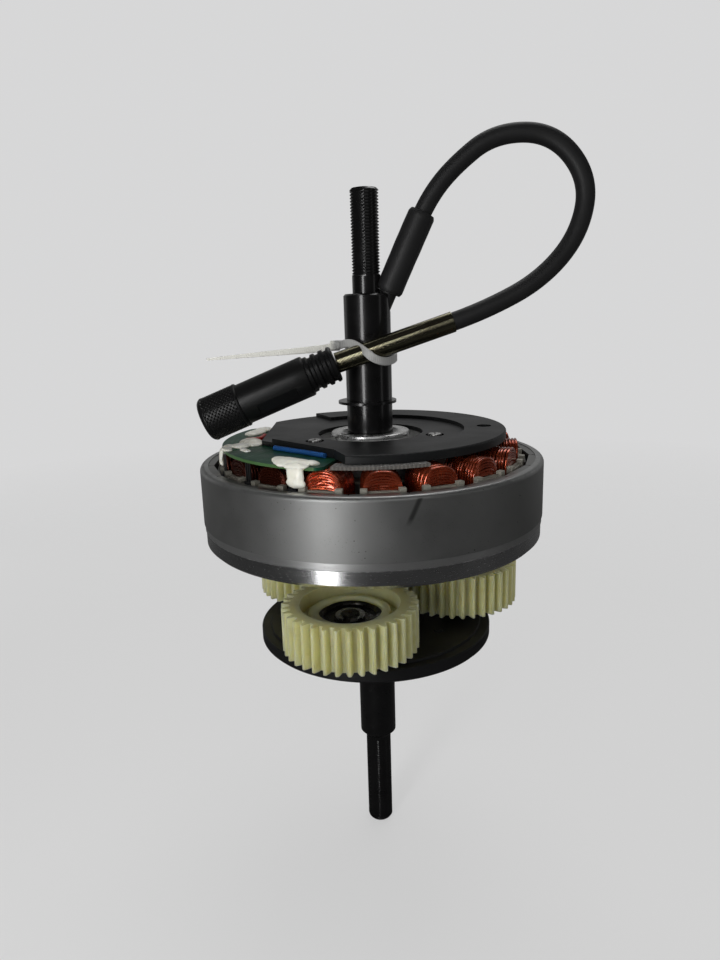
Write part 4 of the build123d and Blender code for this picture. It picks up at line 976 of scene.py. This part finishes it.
def makeConnector():
    profile, knurl = connectorProfile()
    shape = spunOnce(profile, connector["steps"])
    bmesh.ops.remove_doubles(shape, verts=shape.verts, dist=1e-7)
    # Two sets of slanted grooves are pressed in between the rows, which leaves diamonds
    wide = connector["diamondSteps"]
    for vertex in shape.verts:
        row = round((vertex.co.z / millimetre - knurl[0]) / (knurl[1] - knurl[0]))
        aside = abs(vertex.co.xy.length / millimetre - connector["collarRadius"])
        if 0 < row < connector["knurlRows"] and aside < 0.01:
            turn = round(math.atan2(vertex.co.y, vertex.co.x) / (2 * math.pi) * connector["steps"])
            crests = [1.0 - abs(2.0 * ((turn + side * row) / wide % 1.0) - 1.0) for side in (-1, 1)]
            depth = connector["knurlDepth"] * (1.0 - min(crests))
            vertex.co.xy *= 1.0 - depth / connector["collarRadius"]
    way = Vector(connector["direction"]).normalized()
    # The panel is pressed flat into the body's wall, between two cuts round it
    panelWay = Vector(connector["panelWay"])
    panelWay = (panelWay - way * panelWay.dot(way)).normalized()
    turned = way.to_track_quat("Z", "Y").to_matrix()
    localWay = turned.transposed() @ panelWay
    middle = (connector["bootLength"] + connector["bodyLength"] / 2) * millimetre
    flat = (connector["bodyRadius"] - connector["panelDepth"]) * millimetre
    half = connector["panelLength"] / 2 * millimetre
    wall = connector["panelWall"] * millimetre
    for level in (middle - half, middle + half):
        body = [face for face in shape.faces if abs(face.calc_center_median().z - middle) < half * 2
                and face.calc_center_median().xy.length > wall]
        edges = list({edge for face in body for edge in face.edges})
        bmesh.ops.bisect_plane(shape, geom=body + edges, dist=1e-7, plane_co=(0, 0, level),
                               plane_no=(0, 0, 1))
    side = localWay.cross(Vector((0.0, 0.0, 1.0)))
    pressed = [face for face in shape.faces if abs(face.calc_center_median().z - middle) < half
               and face.calc_center_median().dot(localWay) > 0
               and abs(face.calc_center_median().dot(side)) < connector["panelWidth"] / 2 * millimetre]
    inset = connector["panelInset"] * millimetre
    bmesh.ops.inset_region(shape, faces=pressed, thickness=inset, use_even_offset=True)
    for vertex in {vertex for face in pressed for vertex in face.verts}:
        lift = vertex.co.dot(localWay)
        if lift > flat:
            vertex.co += localWay * (flat - lift)
    bmesh.ops.transform(shape, matrix=turned.to_4x4(), verts=shape.verts)
    start = Vector(cable["route"][-1]) + way * connector["start"]
    bmesh.ops.translate(shape, vec=start * millimetre, verts=shape.verts)
    mesh = meshFrom(shape, "connector_housing")
    return makePiece("connector_housing", mesh, "axle", "connector_black", ["connector_shell"], 28.0)


cablePiece, cablePath = makeCable()
sleevePiece = makeSleeve(cablePath)
springPiece = makeSpring(cablePath)
connectorPiece = makeConnector()

print("tie")
tie = {
    "width": 3.4,
    "thickness": 1.1,
    "round": 0.3,
    # Round the axle and over the spring, from the head and back to it
    "band": [
        (-12.4, -3.6, 159.8), (-9.9, -8.1, 160.7), (-6.9, -11.6, 161.0), (-3.8, -15.4, 159.6),
        (-0.8, -20.3, 157.6), (2.0, -20.6, 155.0), (6.6, -17.4, 153.2), (10.4, -9.2, 153.3),
        (12.6, 0.0, 154.2), (9.6, 9.2, 156.6), (0.0, 13.0, 158.6), (-9.4, 9.4, 159.6), (-12.9, 1.0, 160.0),
    ],
    "tail": [
        (-12.2, -4.4, 159.9), (-16.0, -4.8, 159.2), (-21.6, -5.0, 158.5), (-45.5, -5.0, 157.2),
        (-69.4, -5.0, 155.6),
    ],
    "tailWidth": (3.0, 1.0),
    "head": (4.4, 4.8, 4.2),
    "headBevel": 0.7,
    "headPlace": (-14.1, -2.4, 159.7),
}


# A strap's section, carried upright along a line of places
def strapMesh(name, places, widths, cyclic):
    line = bpy.data.curves.new(name, "CURVE")
    line.dimensions = "3D"
    line.twist_mode = "Z_UP"
    addSpline(line, [Vector(place) * millimetre for place in places], widths, cyclic, "NURBS", 10)
    section = bpy.data.curves.new("section", "CURVE")
    section.dimensions = "2D"
    half = (tie["thickness"] / 2 * millimetre, tie["width"] / 2 * millimetre)
    inset = tie["round"] * millimetre
    corners = []
    for across, up in ((1, 1), (-1, 1), (-1, -1), (1, -1)):
        near = [(across * (half[0] - inset), up * half[1]), (across * half[0], up * (half[1] - inset))]
        corners += near if across * up < 0 else near[::-1]
    spline = section.splines.new("POLY")
    spline.points.add(len(corners) - 1)
    for point, (across, up) in zip(spline.points, corners):
        point.co = (across, up, 0.0, 1.0)
    spline.use_cyclic_u = True
    sectionHolder = bpy.data.objects.new("section", section)
    scene.collection.objects.link(sectionHolder)
    line.bevel_mode = "OBJECT"
    line.bevel_object = sectionHolder
    line.use_fill_caps = True
    holder = bpy.data.objects.new(name, line)
    scene.collection.objects.link(holder)
    mesh = settled(holder)
    bpy.data.objects.remove(sectionHolder)
    return mesh


def makeTie():
    whole = bmesh.new()
    whole.from_mesh(strapMesh("band", tie["band"], [1.0] * len(tie["band"]), True))
    narrow = [tie["tailWidth"][0] / tie["width"]] * 3 + [0.62, tie["tailWidth"][1] / tie["width"]]
    whole.from_mesh(strapMesh("tail", tie["tail"], narrow, False))
    head = bmesh.ops.create_cube(whole, size=millimetre)["verts"]
    bmesh.ops.scale(whole, vec=tie["head"], verts=head)
    edges = list({edge for vertex in head for edge in vertex.link_edges})
    bevelled = bmesh.ops.bevel(whole, geom=edges, offset=tie["headBevel"] * millimetre, segments=3,
                               affect="EDGES", profile=0.5, material=-1)
    corners = {vertex for face in bevelled["faces"] for vertex in face.verts}
    bmesh.ops.translate(whole, vec=Vector(tie["headPlace"]) * millimetre, verts=list(corners))
    makePiece("tie_strap", meshFrom(whole, "tie_strap"), "axle", "tie_white", ["cable_tie"], 40.0)


makeTie()

print("axle threads")
thread = {
    "pitch": 1.25,
    "crest": 5.95,
    "root": 5.3,
    "flat": 5.0,
    "flatDirection": -124.0,
    "lower": (-74.4, -29.4),
    "upper": (188.6, 222.1),
    "steps": 40,
}


# One threaded length: a zigzag profile spun once while it climbs by one pitch
def threadShell(bottom, top):
    shape = bmesh.new()
    pitch, crest = thread["pitch"], thread["crest"]
    profile = []
    for number in range(int((top - bottom) / pitch) + 3):
        low = bottom - 1.5 * pitch + number * pitch
        profile += [(thread["root"], low), (crest, low + 0.4 * pitch), (crest, low + 0.55 * pitch)]
    bmesh.ops.spin(shape, geom=outline(shape, profile), cent=(0, 0, 0), axis=(0, 0, 1), angle=2 * math.pi,
                   dvec=(0.0, 0.0, pitch / thread["steps"] * millimetre), steps=thread["steps"])
    bmesh.ops.remove_doubles(shape, verts=shape.verts, dist=1e-6)
    turn = math.radians(thread["flatDirection"])
    flatWay = Vector((math.cos(turn), math.sin(turn), 0.0))
    up = Vector((0.0, 0.0, 1.0))
    cuts = [(Vector((0.0, 0.0, top * millimetre)), up), (Vector((0.0, 0.0, bottom * millimetre)), -up)]
    cuts += [(flatWay * side * thread["flat"] * millimetre, flatWay * side) for side in (-1, 1)]
    for place, way in cuts:
        cut = bmesh.ops.bisect_plane(shape, geom=everything(shape), dist=1e-8, plane_co=place, plane_no=way,
                                     clear_outer=True)
        rim = [item for item in cut["geom_cut"] if isinstance(item, bmesh.types.BMEdge)]
        bmesh.ops.contextual_create(shape, geom=rim)
    return shape


# The axle's plain threaded lengths are cut out between two planes and threads are put in their place
def makeAxle():
    shape = mergedCopy("axle")
    lengths = (thread["lower"], thread["upper"])
    for bottom, top in lengths:
        low, high = bottom * millimetre, top * millimetre
        for level in (low, high):
            bmesh.ops.bisect_plane(shape, geom=everything(shape), dist=1e-8, plane_co=(0, 0, level),
                                   plane_no=(0, 0, 1))
        inside = [face for face in shape.faces if low < face.calc_center_median().z < high]
        bmesh.ops.delete(shape, geom=inside, context="FACES")
        rims = [edge for edge in shape.edges if edge.is_boundary]
        for level in (low, high):
            rim = [edge for edge in rims if edge.is_valid and edge.is_boundary
                   and all(abs(vertex.co.z - level) < 1e-6 for vertex in edge.verts)]
            bmesh.ops.contextual_create(shape, geom=rim)
    for bottom, top in lengths:
        part = threadShell(bottom, top)
        bmesh.ops.recalc_face_normals(part, faces=part.faces)
        piece = bpy.data.meshes.new("thread")
        part.to_mesh(piece)
        part.free()
        shape.from_mesh(piece)
    mesh = bpy.data.meshes.new("threaded_axle")
    shape.to_mesh(mesh)
    shape.free()
    makePiece("threaded_axle", mesh, "axle", "axle_steel", ["axle"], 32.0)
    shadeRound(mesh)


makeAxle()

print("windings")
coil = {
    "count": 18,
    "direction": -86.5,
    "inner": 48.2,
    "outer": 64.2,
    "middle": 98.6,
    "halfCore": 10.5,
    "halfInside": 5.75,
    "halfOutside": 7.7,
    "endInside": 1.35,
    "endOutside": 8.7,
    "wire": 0.63,
    "layers": 7,
    "gap": 0.1,
    "turnShake": 0.08,
    "endShake": 0.16,
    "sink": 0.03,
    "seed": 4,
}


# One turn of wire round a tooth: a share of 0 lies on the tooth, 1 on the coil's outside
def wireLoop(direction, radius, share, shake):
    turn = math.radians(direction)
    way = Vector((math.cos(turn), math.sin(turn), 0.0))
    along = Vector((-math.sin(turn), math.cos(turn), 0.0))
    wire = coil["wire"]
    half = coil["halfInside"] + wire + (coil["halfOutside"] - coil["halfInside"] - 2 * wire) * share
    rise = coil["endInside"] + wire + (coil["endOutside"] - coil["endInside"] - 2 * wire) * share
    straight = coil["halfCore"]
    corners = [(half, -straight * 0.5), (half, straight * 0.5), (half, straight)]
    corners += [(half * 0.93, straight + rise * 0.6), (half * 0.6, straight + rise * 0.97)]
    corners += [(0.0, straight + rise * 1.06)]
    upper = corners + [(-across, height) for across, height in reversed(corners[:-1])]
    lower = [(across, -height) for across, height in reversed(upper[1:-1]) if abs(height) > straight * 0.6]
    places = []
    for across, height in upper + lower:
        offset = shake.uniform(-coil["endShake"], coil["endShake"]) if abs(height) > straight else 0.0
        place = way * (radius + offset) + along * across + Vector((0.0, 0.0, coil["middle"] + height))
        places.append(place * millimetre)
    return places


def makeWindings():
    shake = random.Random(coil["seed"])
    step = 360.0 / coil["count"]
    wire, layers = coil["wire"], coil["layers"]
    columns = int((coil["outer"] - coil["inner"]) / (2 * wire))
    apart = (coil["outer"] - coil["inner"] - 2 * wire - coil["gap"]) / (columns - 1)
    loops = [(column, 1.0) for column in range(columns)]
    loops += [(columns - 1, layer / (layers - 1)) for layer in range(layers - 1)]
    loops += [(0, layer / (layers - 1)) for layer in range(2, layers - 1)]
    for phase in range(3):
        line = bpy.data.curves.new("phase", "CURVE")
        line.dimensions = "3D"
        for number in range(phase, coil["count"], 3):
            direction = coil["direction"] + number * step
            for column, level in loops:
                shift = shake.uniform(-coil["turnShake"], coil["turnShake"])
                radius = coil["inner"] + wire + apart * column + shift
                radius = min(radius, coil["outer"] - wire - coil["gap"])
                share = max(0.0, min(1.0, level - abs(shake.gauss(0.0, coil["sink"]))))
                places = wireLoop(direction, radius, share, shake)
                addSpline(line, places, [wire * millimetre] * len(places), True, "NURBS")
        line.bevel_depth = 1.0
        line.bevel_resolution = 1
        holder = bpy.data.objects.new("phase", line)
        scene.collection.objects.link(holder)
        makePiece(f"coils_phase_{phase + 1}", settled(holder), "axle", "copper", ["windings"], 60.0)


# What lies under the outer turns: the coils' own form, drawn in by most of a wire, in copper painted near
# black as the shade between the turns
def makeCoilCores():
    shape = mergedCopy("windings")
    mesh = bpy.data.meshes.new("coil_cores")
    shape.to_mesh(mesh)
    shape.free()
    holder = bpy.data.objects.new("coil_cores", mesh)
    scene.collection.objects.link(holder)
    draw = holder.modifiers.new("draw", "DISPLACE")
    draw.strength = -1.5 * coil["wire"] * millimetre
    draw.mid_level = 0.0
    makePiece("coil_cores", settled(holder), "axle", "copper", ["windings"], 60.0, coreShadeCopper)


makeWindings()
makeCoilCores()

print("silicone")
silicone = {
    "voxel": 0.4,
    "lump": 0.7,
    "film": 119.6,
    # Strokes: places (direction, radius, height) along each, with the half width there
    "strokes": [
        [
            (231.0, 57.5, 119.6, 2.2), (234.0, 59.8, 119.8, 3.2), (238.0, 61.2, 119.9, 3.9),
            (243.0, 61.0, 119.9, 4.0), (247.5, 60.0, 119.7, 3.2), (250.0, 58.8, 119.5, 1.8),
        ],
        [
            (236.0, 62.8, 119.6, 2.2), (239.5, 64.2, 119.5, 2.7), (244.0, 64.7, 119.4, 3.2),
            (247.5, 64.4, 119.3, 2.4),
        ],
        [
            (244.3, 65.3, 119.1, 3.6), (244.8, 66.0, 117.2, 3.9), (245.0, 66.2, 115.2, 3.7),
            (245.0, 66.2, 113.6, 3.9), (245.3, 66.1, 112.7, 4.1),
        ],
        [
            (193.0, 61.5, 119.6, 1.6), (196.0, 63.2, 119.5, 2.0), (200.0, 64.0, 119.3, 2.1),
            (203.0, 63.6, 119.3, 1.5),
        ],
        [
            (197.0, 65.4, 118.9, 2.2), (197.4, 66.2, 117.0, 2.4), (197.8, 66.3, 114.6, 2.3),
            (198.4, 66.2, 112.8, 2.5),
        ],
    ],
    # Dabs on the leads: direction, radius, length, width, height and turn
    "dabs": [
        (190.8, 52.6, 14.5, 9.6, 3.2, -62.0), (197.0, 57.6, 9.5, 7.4, 2.4, -40.0),
        (160.5, 55.6, 21.0, 6.8, 2.8, 68.0), (206.0, 58.0, 9.0, 3.2, 1.5, 120.0),
    ],
    "blobs": 5,
    "seed": 11,
}


# Drops of silicone that run together along each stroke, melted into one skin
def makeSealant():
    draw = random.Random(silicone["seed"])
    shape = bmesh.new()

    # A drop with its half sizes outwards, sideways and upwards, turned to face outwards
    def drop(place, halves):
        facing = Matrix.Rotation(math.atan2(place.y, place.x), 4, "Z") @ Matrix.Diagonal((*halves, 1.0))
        placed = Matrix.Translation(place) @ facing
        bmesh.ops.create_icosphere(shape, subdivisions=2, radius=1.0, matrix=placed)

    def spot(direction, radius, height):
        turn = math.radians(direction)
        return Vector((math.cos(turn) * radius, math.sin(turn) * radius, height)) * millimetre

    count = silicone["blobs"]
    for stroke in silicone["strokes"]:
        for first, second in zip(stroke, stroke[1:]):
            lying = min(first[2], second[2]) > silicone["film"] - 0.5
            for step in range(count):
                share = step / count
                place = spot(*first[:3]).lerp(spot(*second[:3]), share)
                half = (first[3] + (second[3] - first[3]) * share) * draw.uniform(0.85, 1.1) * millimetre
                place += Vector([draw.uniform(-0.2, 0.2) for axis in range(3)]) * millimetre
                drop(place, (half, half, half * 0.32) if lying else (half * 0.4, half, half * 0.45))
    for direction, radius, length, width, height, turn in silicone["dabs"]:
        middle = spot(direction, radius, silicone["film"])
        along = Vector((math.cos(math.radians(turn)), math.sin(math.radians(turn)), 0.0)) * millimetre
        for step in range(2 * count):
            share = (step / (2 * count - 1) - 0.5) * (length - width)
            half = width / 2 * draw.uniform(0.75, 1.1) * millimetre
            drop(middle + along * share, (half, half, height / 2 * draw.uniform(0.8, 1.2) * millimetre))
    mesh = bpy.data.meshes.new("silicone_dabs")
    shape.to_mesh(mesh)
    shape.free()
    holder = bpy.data.objects.new("silicone_dabs", mesh)
    scene.collection.objects.link(holder)
    remesh = holder.modifiers.new("remesh", "REMESH")
    remesh.mode = "VOXEL"
    remesh.voxel_size = silicone["voxel"] * millimetre
    lumps = bpy.data.textures.new("lumps", "CLOUDS")
    lumps.noise_scale = 0.003
    push = holder.modifiers.new("push", "DISPLACE")
    push.texture = lumps
    push.strength = silicone["lump"] * millimetre
    push.mid_level = 0.5
    calm = holder.modifiers.new("calm", "SMOOTH")
    calm.factor = 0.5
    calm.iterations = 3
    makePiece("silicone_dabs", settled(holder), "axle", "silicone", ["sealant"], 180.0)


makeSealant()

print("planet gears")
planet = {
    "count": 3,
    "lowered": 2.9,
    "floor": 53.2,  # everything inside the rim above this height is lowered
    "rimInner": 20.93,
    "wallInside": 1.2,  # the rim's wall and its foot
    "wallOutside": 0.8,
    "wallFoot": 1.2,
    "hubInner": 12.7,
    "boreEdge": 13.3,
    "shadeInside": 13.28,  # what lies within this radius and above this height gets the steel painted dark as the bore's shade
    "shadeAbove": 50.9,
}


# The gear's own mesh with its hub set deeper in the rim, and its bore's mouth given painted shade in the dark
# steel finish
def makePlanetGear(number):
    node = f"planet_gear_{number}"
    low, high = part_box(node)
    centre = ((low + high) / 2).to_2d()
    shape = mergedCopy(node)
    for vertex in shape.verts:
        out = vertex.co.to_2d() - centre
        radius, height = out.length / millimetre, vertex.co.z / millimetre
        inside = radius < planet["rimInner"] + planet["wallOutside"]
        beside = radius > planet["rimInner"] - planet["wallInside"]
        onWall = beside and height >= planet["floor"] + planet["wallFoot"]
        if inside and height > planet["floor"] and not onWall:
            vertex.co.z -= planet["lowered"] * millimetre
            if radius < planet["hubInner"]:
                vertex.co.xy = centre + out.normalized() * planet["boreEdge"] * millimetre
    mesh = meshFrom(shape, node)
    makePiece(f"nylon_gear_{number}", mesh, f"planet_{number}", "gear_nylon", [node], 32.0)
    mesh.materials.append(paintedBoreShade)
    for face in mesh.polygons:
        inside = (face.center.to_2d() - centre).length < planet["shadeInside"] * millimetre
        if inside and face.center.z > planet["shadeAbove"] * millimetre:
            face.material_index = 1


for number in range(1, planet["count"] + 1):
    makePlanetGear(number)

print("finishes on the nodes")
special = {"stator_snap_ring": snapSteel()}
# Painted shade: the planets' bearings and pins take the steel painted near black for the bores' shade
for name in ("planet_bearing_1", "planet_bearing_2", "planet_bearing_3", "planet_pins"):
    special[name] = paintedBoreShade
for part in frame["record"]["subparts"]:
    nodeName = part["node"]
    dressNode(nodeName, special.get(nodeName) or finishes[part["material_slot"]])
